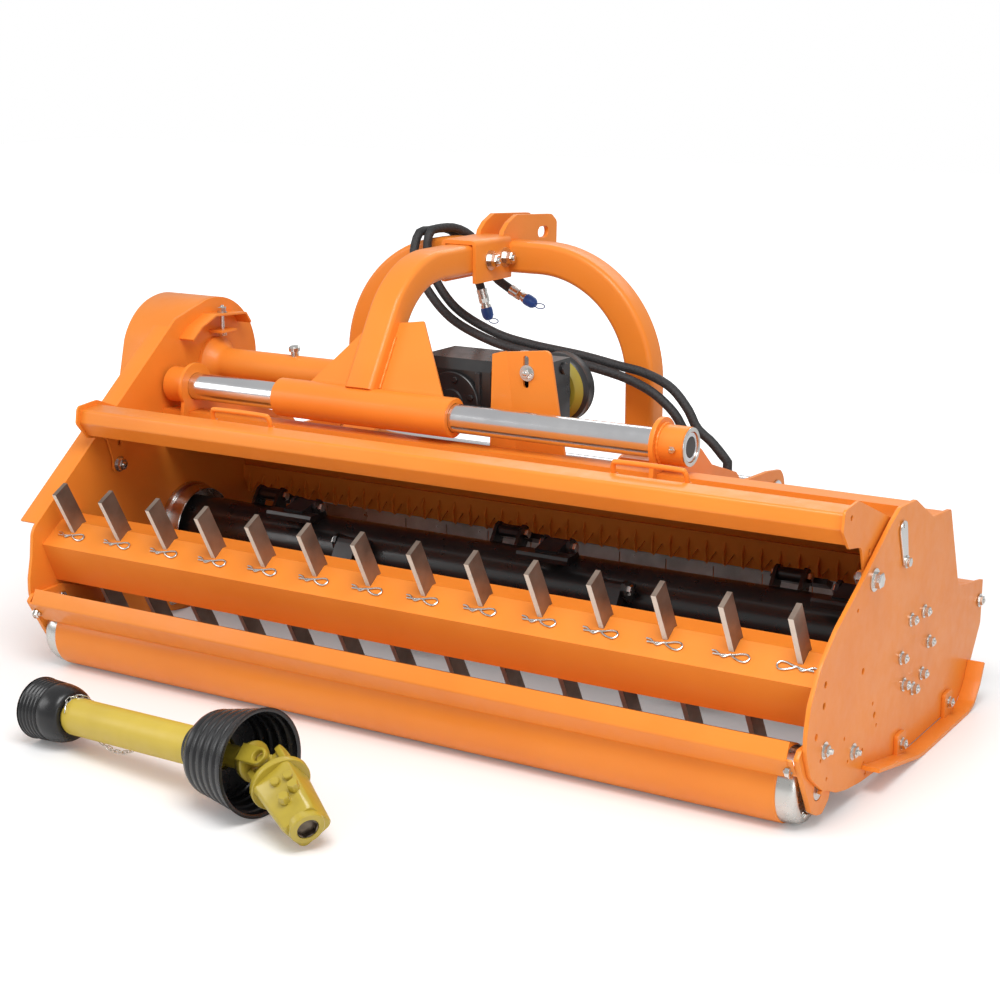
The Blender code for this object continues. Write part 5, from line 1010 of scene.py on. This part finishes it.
nut = bolt((-0.640, 0.548, 0.6025), (0, -0.1, 1), across=0.016, head=0.006)
finished("breather", welded(breather, nut), zinc, "frame")
dress(zinc, "input_shaft", "rotor_pulley", "drive_pulley")
olive_guard = coating("olive_plastic", (0.36, 0.285, 0.035), (0.32, 0.25, 0.028), 0.40, grain=500.0)
GUARD = 0.078
GUARD_FOOT = (INPUT[0], 0.6583, INPUT[1])
cone = [
    (0.0, 0.026), (0.0, 0.060), (0.004, 0.064), (0.026, 0.0745), (0.026, 0.071), (0.006, 0.061),
    (0.004, 0.026),
]
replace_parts(finished("guard_cone", spun(cone, GUARD_FOOT, (0, 1, 0), 96), olive_guard, "frame"), "pto_guard")
ring = [
    (0.018, 0.0712), (0.021, 0.0745), (0.024, 0.0755), (0.026, GUARD - 0.001), (0.030, GUARD),
    (0.034, GUARD - 0.0015), (0.053, GUARD - 0.0015), (0.0567, GUARD - 0.0005), (0.0567, GUARD - 0.005),
    (0.024, GUARD - 0.006),
]
finished("guard_ring", spun(ring, GUARD_FOOT, (0, 1, 0), 96), black_plastic, "frame")


# The belt runs down the left side under a pressed steel cover, round at both ends and painted like
# the plates. A threaded rod through a small shelf tightens the belt.
COVER_NEAR = -0.8833
COVER_FAR = -1.0403
COVER_FOOT_RADIUS = 0.122
COVER_SHEET = 0.003
TENSION_ROD = (-0.855, 0.556)


def pill(top, wide, bottom, narrow, steps=40):
    """The outline round two circles."""
    top, bottom = Vector(top), Vector(bottom)
    way = top - bottom
    lean = math.degrees(math.atan2(way.y, way.x))
    spread = math.degrees(math.acos((wide - narrow) / way.length))
    line = arc(top, wide, lean - spread, lean + spread, steps)
    return line + arc(bottom, narrow, lean + spread, lean + 360 - spread, steps)


rings = []
for x, inset in (
    (COVER_FAR + COVER_SHEET, COVER_SHEET), (COVER_NEAR, COVER_SHEET), (COVER_NEAR, 0.0),
    (COVER_FAR + 0.010, 0.0), (COVER_FAR + 0.004, 0.0025), (COVER_FAR, 0.009),
):
    outline = pill(COVER_TOP, COVER_TOP_RADIUS - inset, ROTOR, COVER_FOOT_RADIUS - inset)
    rings.append([(x, y, z) for y, z in outline])
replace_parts(finished("belt_cover_pan", skinned(rings), orange_paint, "frame"), "belt_cover")
rubber = coating(
    "black_rubber", (0.014, 0.014, 0.014), (0.022, 0.022, 0.022), 0.55, grain=700.0, depth=0.00002
)
dress(rubber, "drive_belt")
tension = [
    bolt((*TENSION_ROD, 0.6855), (0, 0, 1), across=0.018, head=0.011, washer=0.012, shank=0.006),
    turned((*TENSION_ROD, 0.630), (0, 0, 1), 0.056, 0.0048, ease=0.0, sides=24),
    bolt((*TENSION_ROD, 0.6398), (0, 0, -1), across=0.018, head=0.008, washer=0.011),
]
finished("belt_tensioner", welded(*tension), zinc, "frame")
shelf = cut_sheet(oblong(-0.8745, 0.530, -0.836, 0.584), [], "Z", 0.640, 0.646)
finished("tensioner_shelf", shelf, orange_paint, "frame")


# The rear hood is a 4 mm folded sheet that hinges between the side plates. It has a gusset at each
# end, two loop handles of bent rod on top, and a bolt and washer at each pivot.
HOOD_END = 0.871
HOOD_LINE = [(0.107, 0.474), (0.084, 0.505), (0.090, 0.533), (0.140, 0.537), (0.318, 0.466)]
meshes = [folded(HOOD_LINE, -0.004, "X", -HOOD_END + 0.0045, HOOD_END - 0.0045, bend=0.007)]
GUSSET = rounded([
    (0.106, 0.468, 0.006), (0.075, 0.504, 0.012), (0.081, 0.541, 0.012),
    (0.142, 0.546, 0.020), (0.321, 0.474, 0.006),
    (0.300, 0.455, 0.010), (0.226, 0.440, 0.030), (0.218, 0.403, 0.010),
    (0.218, 0.375, 0.014), (0.182, 0.375, 0.014),
    (0.182, 0.408, 0.010), (0.165, 0.458, 0.020),
])
gusset_holes = [hole(*HOOD_PIVOT, 0.0086), hole(0.205, 0.440, 0.006), hole(0.112, 0.522, 0.005)]
screws = []
for side in (-1, 1):
    meshes.append(cut_sheet(GUSSET, gusset_holes, "X", side * HOOD_END, side * (HOOD_END - 0.005)))
    head = (side * (OUTSIDE + 0.0002), *HOOD_PIVOT)
    screws.append(bolt(head, (side, 0, 0), across=0.026, head=0.013, washer=0.021, thick=0.003))
    nut = (side * (HOOD_END - 0.0062), *HOOD_PIVOT)
    screws.append(bolt(nut, (-side, 0, 0), across=0.024, head=0.012, washer=0.017, shank=0.006))
HANDLE_HALF = 0.075
HANDLE_ROD = 0.005
HANDLE_LEG = [(0.0, 0.160, 0.526), (0.0, 0.156, 0.543), (0.003, 0.1535, 0.5525), (0.012, 0.152, 0.556)]
for x in (-0.483, 0.463):
    way = [(x - HANDLE_HALF + a, y, z) for a, y, z in HANDLE_LEG] + [(x, 0.152, 0.557)]
    way += [(x + HANDLE_HALF - a, y, z) for a, y, z in HANDLE_LEG[::-1]]
    meshes.append(wire(smooth_way(way, 8), HANDLE_ROD, 20))
    for end in (x - HANDLE_HALF, x + HANDLE_HALF):
        bead = circle(Vector((end, 0.1595, 0.5315)), Vector((1, 0, 0)), Vector((0, 1, 0)), 0.0062, 24)
        meshes.append(wire(bead, 0.0022, 8, closed=True))
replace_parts(finished("hood", welded(*meshes), orange_paint, "hood"), "rear_hood")
finished("hood_pivot_bolts", welded(*screws), zinc, "hood")


# The latch is a polished steel lever on the right plate, wide and round at its free end. It turns
# on a shoulder bolt and holds the hood open.
polished = coating("polished_steel", (0.70, 0.69, 0.67), (0.60, 0.59, 0.57), 0.20, metal=1.0, grain=700.0)
LATCH = pill((0.3325, 0.454), 0.0170, (0.351, 0.391), 0.0110, 24)
lever = cut_sheet(LATCH, [hole(0.331, 0.462, 0.0035)], "X", OUTSIDE + 0.0004, OUTSIDE + 0.0052, edge=0.0012)
pin = turned((HALF - 0.003, *LATCH_PIVOT), (1, 0, 0), 0.015, 0.0058, ease=0.0, sides=32)
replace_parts(finished("latch_lever", welded(lever, pin), polished, "latch"), "hood_latch")
screw = bolt((OUTSIDE + 0.0052, *LATCH_PIVOT), (1, 0, 0), across=0.016, head=0.007, washer=0.012)
finished("latch_bolt", screw, zinc, "latch")


# The loose drive shaft is two telescoping plastic tubes over a steel shaft, with ribbed black bells
# over its joints and a cast overload clutch on the right end. Thin chains stop the tubes turning.
LEFT = Vector((-0.562, -0.374, 0.0605))
RIGHT = Vector((0.035, -0.456, 0.0980))
YOKE_END = Vector((0.200, -0.543, 0.0450))
ALONG = (RIGHT - LEFT).normalized()
LENGTH = (RIGHT - LEFT).length
JOINT = RIGHT + ALONG * 0.021
BEND = (YOKE_END - JOINT).normalized()
PIVOT = ALONG.cross(BEND).normalized()
yellow_plastic = coating(
    "yellow_plastic", (0.62, 0.45, 0.055), (0.56, 0.40, 0.045), 0.42, grain=600.0, patch=9.0
)
cast_yellow = coating(
    "cast_yellow", (0.46, 0.345, 0.035), (0.40, 0.295, 0.028), 0.33,
    coat=0.3, grain=110.0, depth=0.00008, patch=26.0,
)
BELL_WALL = 0.0035


def ribbed(neck_at, shoulder_at, mouth_at, neck, shoulder, mouth, count, depth):
    """A bell's outer profile: a smooth dome from its neck, then round ribs out to its mouth."""
    line = []
    for degrees in range(0, 81, 8):
        turn = math.radians(degrees)
        along = neck_at + (shoulder_at - neck_at) * (1 - math.cos(turn))
        line.append((along, neck + (shoulder - neck) * math.sin(turn)))
    steps = count * 14
    for i in range(1, steps + 1):
        t = i / steps
        groove = abs(math.cos(math.pi * t * count)) ** 6 if i < steps else 0.0
        radius = shoulder + (mouth - 0.001 - shoulder) * t - depth * groove
        line.append((shoulder_at + (mouth_at - shoulder_at) * t, radius))
    line.append((mouth_at, mouth))
    return line


def bell_mesh(outside, bore, back, cut):
    """A bell's shell from its outer profile, hollow from its mouth in to cut."""
    inside = [(a, r - BELL_WALL) for a, r in outside if (a > cut) == (outside[-1][0] > cut)]
    return spun([(outside[0][0], bore)] + outside + inside[::-1] + [(back, bore)], LEFT, ALONG, 96)


neck = LENGTH - 0.155
outside = [(neck, 0.045), (neck + 0.019, 0.045)]
outside += ribbed(neck + 0.022, neck + 0.054, LENGTH, 0.0455, 0.078, 0.097, 5, 0.0032)
bell = bell_mesh(outside, 0.030, neck + 0.060, neck + 0.060)
collar = turned(LEFT + ALONG * (neck - 0.001), ALONG, 0.019, 0.0455, 0.0356, 0.002)
lip = circle(LEFT + ALONG * (LENGTH - 0.002), PIVOT, ALONG.cross(PIVOT), 0.0945, 96)
lip = wire(lip, 0.0022, 10, closed=True)
black_bell = coating(
    "black_bell", (0.009, 0.009, 0.010), (0.014, 0.014, 0.015), 0.27, grain=420.0, depth=0.00001
)
finished("right_bell", welded(bell, collar, lip), black_bell, "driveline", crease=50.0)
outside = [(0.0985, 0.0405)] + ribbed(0.098, 0.050, 0.0, 0.042, 0.057, 0.060, 5, 0.0028)
finished("left_bell", bell_mesh(outside, 0.0345, 0.060, 0.058), black_bell, "driveline_half", crease=50.0)
tube = [(0.1025, 0.0), (0.1025, 0.0352), (0.104, 0.0355), (neck + 0.010, 0.0355), (neck + 0.010, 0.0)]
tube = spun(tube, LEFT, ALONG, 96)
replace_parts(finished("guard_tube", tube, yellow_plastic, "driveline"), "driveline_outer")


def aimed(mesh, base, direction, side):
    """Turn a mesh made along +Z about the origin to a base, a direction and a side for its X."""
    along = Vector(direction).normalized()
    across = (Vector(side) - along * along.dot(Vector(side))).normalized()
    turn = Matrix((across, along.cross(across), along)).transposed().to_4x4()
    mesh.transform(Matrix.Translation(Vector(base)) @ turn)
    return mesh


ARM_HALF = 0.0165


def fork(across_axis, foot_at, tip_at):
    """A cast fork: two round-ended arms either side of the middle, from a foot to the cross."""
    sign = 1 if tip_at > foot_at else -1
    eye = (0.0, tip_at - sign * ARM_HALF)
    line = [(-ARM_HALF, foot_at), (ARM_HALF, foot_at)] + arc(eye, ARM_HALF, 0, 180 * sign, 16)
    meshes = []
    for side in (-1, 1):
        meshes.append(cut_sheet(line, [hole(*eye, 0.0105)], "X", side * 0.025, side * 0.0368, edge=0.002))
    if across_axis == "Y":
        for mesh in meshes:
            mesh.transform(Matrix.Rotation(math.pi / 2, 4, "Z"))
    return meshes


arms = [aimed(mesh, JOINT, ALONG, PIVOT) for mesh in fork("X", -0.046, ARM_HALF)]
hub = [(-0.056, 0.0), (-0.056, 0.030), (-0.040, 0.0368), (-0.034, 0.0368), (-0.030, 0.020), (-0.030, 0.0)]
hub = spun(eased(hub, 0.003), JOINT, ALONG, 48)
core = turned(LEFT + ALONG * (LENGTH - 0.100), ALONG, 0.080, 0.020, ease=0.0, sides=48)
finished("shaft_fork", welded(*arms, hub, core), cast_yellow, "driveline", crease=40.0)
inner_tube = turned(LEFT + ALONG * 0.045, ALONG, LENGTH - 0.151, 0.0315, ease=0.0, sides=64)
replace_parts(finished("inner_tube", inner_tube, yellow_plastic, "driveline_half"), "driveline_inner")
arms = [aimed(mesh, LEFT, ALONG, PIVOT) for mesh in fork("X", 0.036, -0.018)]
hub = [(0.026, 0.0), (0.026, 0.0368), (0.036, 0.0368), (0.046, 0.028), (0.046, 0.0)]
hub = spun(eased(hub, 0.003), LEFT, ALONG, 48)
finished("half_fork", welded(*arms, hub), cast_yellow, "driveline_half", crease=40.0)

reach = (YOKE_END - JOINT).length
block_end = reach - 0.010
third = BEND.cross(PIVOT)
arms = [aimed(mesh, JOINT, BEND, PIVOT) for mesh in fork("Y", 0.048, -ARM_HALF)]
disc = [(0.042, 0.0), (0.042, 0.049), (0.0445, 0.0538), (0.056, 0.0538), (0.056, 0.0)]
disc = spun(eased(disc), JOINT, BEND, 96)
first = rounded([
    (-0.040, -0.040, 0.014), (0.040, -0.040, 0.014), (0.040, 0.040, 0.014), (-0.040, 0.040, 0.014),
], 5)
last = rounded([
    (-0.030, -0.0335, 0.012), (0.0408, -0.0335, 0.012), (0.0408, 0.0335, 0.012), (-0.030, 0.0335, 0.012),
], 5)
rings = []
for line, height, shrink in (
    (first, 0.054, 1.0), (first, 0.058, 1.0), (last, block_end - 0.004, 1.0), (last, block_end, 0.93),
):
    rings.append([(a * shrink, b * shrink, height) for a, b in line])
block = aimed(skinned(rings), JOINT, BEND, PIVOT)
collar = [
    (block_end - 0.003, 0.0195), (block_end - 0.003, 0.0325), (reach - 0.002, 0.031), (reach, 0.029),
    (reach, 0.0195),
]
collar = spun(collar, JOINT, BEND)
middle = [(-0.014, 0.0), (-0.014, 0.012), (-0.008, 0.017), (0.008, 0.017), (0.014, 0.012), (0.014, 0.0)]
cross = [
    turned(JOINT - PIVOT * 0.0245, PIVOT, 0.049, 0.0108, sides=32),
    turned(JOINT - third * 0.0365, third, 0.073, 0.0100, sides=32),
    spun(middle, JOINT, BEND, 32),
]
clutch = welded(*arms, disc, block, collar, *cross)
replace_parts(finished("clutch_body", clutch, cast_yellow, "clutch", crease=36.0), "clutch_yoke")
bolts = []
for height, offset in ((0.124, 0.000), (0.116, 0.024)):
    seat = JOINT + BEND * height - PIVOT * 0.0335 + third * offset
    bolts.append(bolt(seat, third * 0.35 - PIVOT, across=0.018, head=0.015))
for height, offset in ((0.088, 0.026), (0.080, 0.002)):
    seat = JOINT + BEND * height - PIVOT * 0.036 + third * offset
    bolts.append(turned(seat, third * 0.35 - PIVOT, 0.008, 0.0085, sides=28))
finished("clutch_bolts", welded(*bolts), cast_yellow, "clutch", crease=36.0)
bore = []
for i in range(24):
    radius = 0.0178 - 0.0022 * (i % 4 > 1)
    bore.append((radius * math.cos(math.tau * i / 24), radius * math.sin(math.tau * i / 24)))
ring = [(0.0186 * math.cos(math.tau * i / 48), 0.0186 * math.sin(math.tau * i / 48)) for i in range(48)]
bore = cut_sheet(ring, [bore[::-1]], "Z", -0.0085, 0.0, edge=0.0003)
bore = aimed(bore, YOKE_END - BEND * 0.001, BEND, PIVOT)
dark_steel = coating("oiled_steel", (0.16, 0.13, 0.10), (0.09, 0.07, 0.055), 0.36, metal=0.9, patch=60.0)
bottom = turned(YOKE_END - BEND * 0.0098, BEND, 0.001, 0.0175, ease=0.0, sides=32)
finished("clutch_bore", welded(bore, bottom), dark_steel, "clutch")
nipple = [
    (0.0, 0.0), (0.0, 0.004), (0.004, 0.004), (0.006, 0.0025), (0.010, 0.0032), (0.012, 0.0016),
    (0.012, 0.0),
]
nipple = spun(nipple, JOINT + BEND * 0.012 - third * 0.012, BEND * 0.4 - third, 20)
finished("grease_nipple", nipple, zinc, "clutch")


LINK_PITCH = 0.0105
LINK_HALF = 0.0042
LINK_END = 0.0034


def chain(way, body, name):
    """A light chain of welded wire links along a way, every second link turned on its side."""
    way = smooth_way(way, 30)
    span = [0.0]
    for a, b in zip(way, way[1:]):
        span.append(span[-1] + (b - a).length)
    links = []
    count = int(span[-1] / LINK_PITCH)
    for n in range(count):
        target = (n + 0.5) * span[-1] / count
        i = max(k for k in range(len(span)) if span[k] <= target)
        i = min(i, len(way) - 2)
        here = way[i].lerp(way[i + 1], (target - span[i]) / (span[i + 1] - span[i]))
        along = (way[i + 1] - way[i]).normalized()
        side = along.orthogonal().normalized()
        if n % 2:
            side = along.cross(side)
        loop = []
        for t in [math.tau * k / 16 for k in range(16)]:
            stretch = LINK_HALF if math.cos(t) > 0 else -LINK_HALF
            loop.append(here + along * (stretch + LINK_END * math.cos(t)) + side * (LINK_END * math.sin(t)))
        links.append(wire(loop, 0.0009, 6, closed=True))
    return finished(name, welded(*links), zinc, body)


def round_shaft(distance, radius, start, end, steps):
    """Places round the drive shaft, by angle from the top towards the camera's side."""
    down = Vector((0.0, 0.0, 1.0)) - ALONG * ALONG.z
    down.normalize()
    side = ALONG.cross(down)
    out = []
    for i in range(steps + 1):
        t = math.radians(start + (end - start) * i / steps)
        sway = ALONG * (distance + 0.006 * math.sin(i * 0.9))
        out.append(LEFT + sway + (down * math.cos(t) + side * math.sin(t)) * radius)
    return out


chain(round_shaft(0.108, 0.0385, -70, 60, 8), "driveline_half", "left_chain")
SAG = [(0.165, 0.039), (0.185, 0.047), (0.210, 0.052), (0.240, 0.048), (0.262, 0.040)]
chain([LEFT + ALONG * along + Vector((0, 0.004, -drop)) for along, drop in SAG], "driveline", "right_chain")


# Two hydraulic hoses run from the side shift cylinder over the arch to the tractor. They are black
# rubber with a woven wear sleeve; each is crimped into a steel ferrule at its end.
HOSE = 0.0105
hose_skin = bpy.data.materials.new("hose_sleeve")
hose_skin.use_nodes = True
tree = hose_skin.node_tree
shader = tree.nodes["Principled BSDF"]
place = tree.nodes.new("ShaderNodeTexCoord").outputs["Object"]
fuzz = noise(tree, 260.0, 3.0, place)
shade = shades(tree, between(tree, fuzz, 0.0, 1.0, 0.35, 0.65), (0.012, 0.012, 0.013), (0.040, 0.040, 0.042))
tree.links.new(shade, shader.inputs["Base Color"])
tree.links.new(between(tree, fuzz, 0.45, 0.75), shader.inputs["Roughness"])
weave = tree.nodes.new("ShaderNodeTexWave")
weave.inputs["Scale"].default_value = 130.0
weave.inputs["Distortion"].default_value = 2.0
tree.links.new(place, weave.inputs["Vector"])
grained(tree, weave.outputs["Fac"], 0.0004, 0.6)
top = ARCH_TOP + HOSE + 0.004
front = ARCH_BACK + ARCH_DEPTH + HOSE + 0.006
port = 0.3813
UPPER_HOSE = [
    (0.300, 0.850, port), (0.300, 0.850, port + 0.028), (0.262, 0.850, 0.448), (0.225, 0.850, 0.476),
    (0.200, 0.852, 0.516), (0.152, 0.862, 0.558), (0.077, 0.885, 0.579), (0.011, 0.887, 0.589),
    (-0.084, 0.887, 0.604), (-0.218, 0.887, 0.618), (-0.315, 0.887, 0.637), (-0.417, 0.887, 0.682),
    (-0.476, 0.887, 0.743), (-0.503, 0.890, 0.800),
    (-0.507, 0.902, top - 0.006), (-0.500, 0.935, top + 0.004),
    (-0.478, 0.975, top + 0.002), (-0.452, front, top - 0.020), (-0.430, front + 0.006, 0.800),
    (-0.400, front + 0.016, 0.750), (-0.365, front + 0.022, 0.724), (-0.332, front + 0.022, 0.708),
]
LOWER_HOSE = [
    (0.245, 0.850, port), (0.245, 0.850, port + 0.022), (0.222, 0.850, 0.428), (0.194, 0.848, 0.468),
    (0.170, 0.846, 0.505), (0.122, 0.850, 0.540), (0.065, 0.862, 0.560), (0.011, 0.864, 0.574),
    (-0.084, 0.864, 0.590), (-0.218, 0.864, 0.604), (-0.315, 0.864, 0.622), (-0.420, 0.864, 0.664),
    (-0.490, 0.864, 0.730), (-0.527, 0.868, 0.795),
    (-0.533, 0.895, top - 0.008), (-0.526, 0.935, top - 0.002),
    (-0.510, 0.980, top - 0.001), (-0.490, front + 0.006, top - 0.026), (-0.462, front + 0.008, 0.785),
    (-0.440, front + 0.014, 0.730), (-0.428, front + 0.016, 0.690),
]


def hose_line(points, spacing=0.016):
    """The hose's middle: straight out of its port, then evenly spaced along a smooth curve."""
    fine = smooth_way(points[1:], 12)
    total = sum((b - a).length for a, b in zip(fine, fine[1:]))
    count = max(round(total / spacing), 2)
    line = [Vector(points[0]), fine[0]]
    walked = 0.0
    for a, b in zip(fine, fine[1:]):
        step = (b - a).length
        while len(line) - 1 < count and walked + step >= total * (len(line) - 1) / count:
            line.append(a.lerp(b, (total * (len(line) - 1) / count - walked) / step))
        walked += step
    return line + [fine[-1]]


def fitting(end, way, name, cap):
    """A crimped ferrule, its hexagon and a quick coupler, with a plastic cap on a loop of wire."""
    ferrule = [
        (-0.026, 0.0106), (-0.026, 0.0128), (-0.018, 0.0128), (-0.0175, 0.0122), (-0.012, 0.0122),
        (-0.0115, 0.0128), (-0.003, 0.0128), (-0.003, 0.0106),
    ]
    hexagon = [(-0.003, 0.0), (-0.003, 0.0125), (0.007, 0.0125), (0.007, 0.0)]
    coupler = [(0.007, 0.0), (0.007, 0.010), (0.012, 0.010), (0.013, 0.0125), (0.022, 0.0125), (0.022, 0.0)]
    steel = welded(spun(ferrule, end, way, 40), spun(hexagon, end, way, 6), spun(coupler, end, way, 40))
    cover = [
        (0.020, 0.0), (0.020, 0.0135), (0.027, 0.0142), (0.040, 0.0135), (0.046, 0.0105),
        (0.050, 0.0060), (0.050, 0.0),
    ]
    root = end + way.normalized() * 0.048 + Vector((0.013, 0.0, -0.003))
    loop = circle(root, Vector((-0.013, 0, 0)), Vector((0, 0, 0.006)), 1.0, 24)
    plastic = welded(spun(cover, end, way, 40), wire(loop, 0.0012, 8, closed=True))
    return [finished(name, steel, zinc, "headstock"), finished(name + "_cap", plastic, cap, "headstock")]


blue_cap = coating("blue_plastic", (0.02, 0.10, 0.42), (0.015, 0.08, 0.36), 0.38, grain=400.0)
HOSES = (("upper_hose", UPPER_HOSE, "hose_upper"), ("lower_hose", LOWER_HOSE, "hose_lower"))
for name, points, node in HOSES:
    line = hose_line(points)
    tube = wire(line, HOSE, 20)
    tube.shade_smooth()
    tube.set_sharp_from_angle(angle=math.radians(50))
    tube.materials.append(hose_skin)
    hose = bpy.data.objects.new(name, tube)
    hose.location = MIDDLE
    bpy.context.scene.collection.objects.link(hose)
    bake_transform(hose)
    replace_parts(hose, node)
    way = line[-1] - line[-2]
    pieces = fitting(line[-1], way, name + "_coupler", blue_cap)
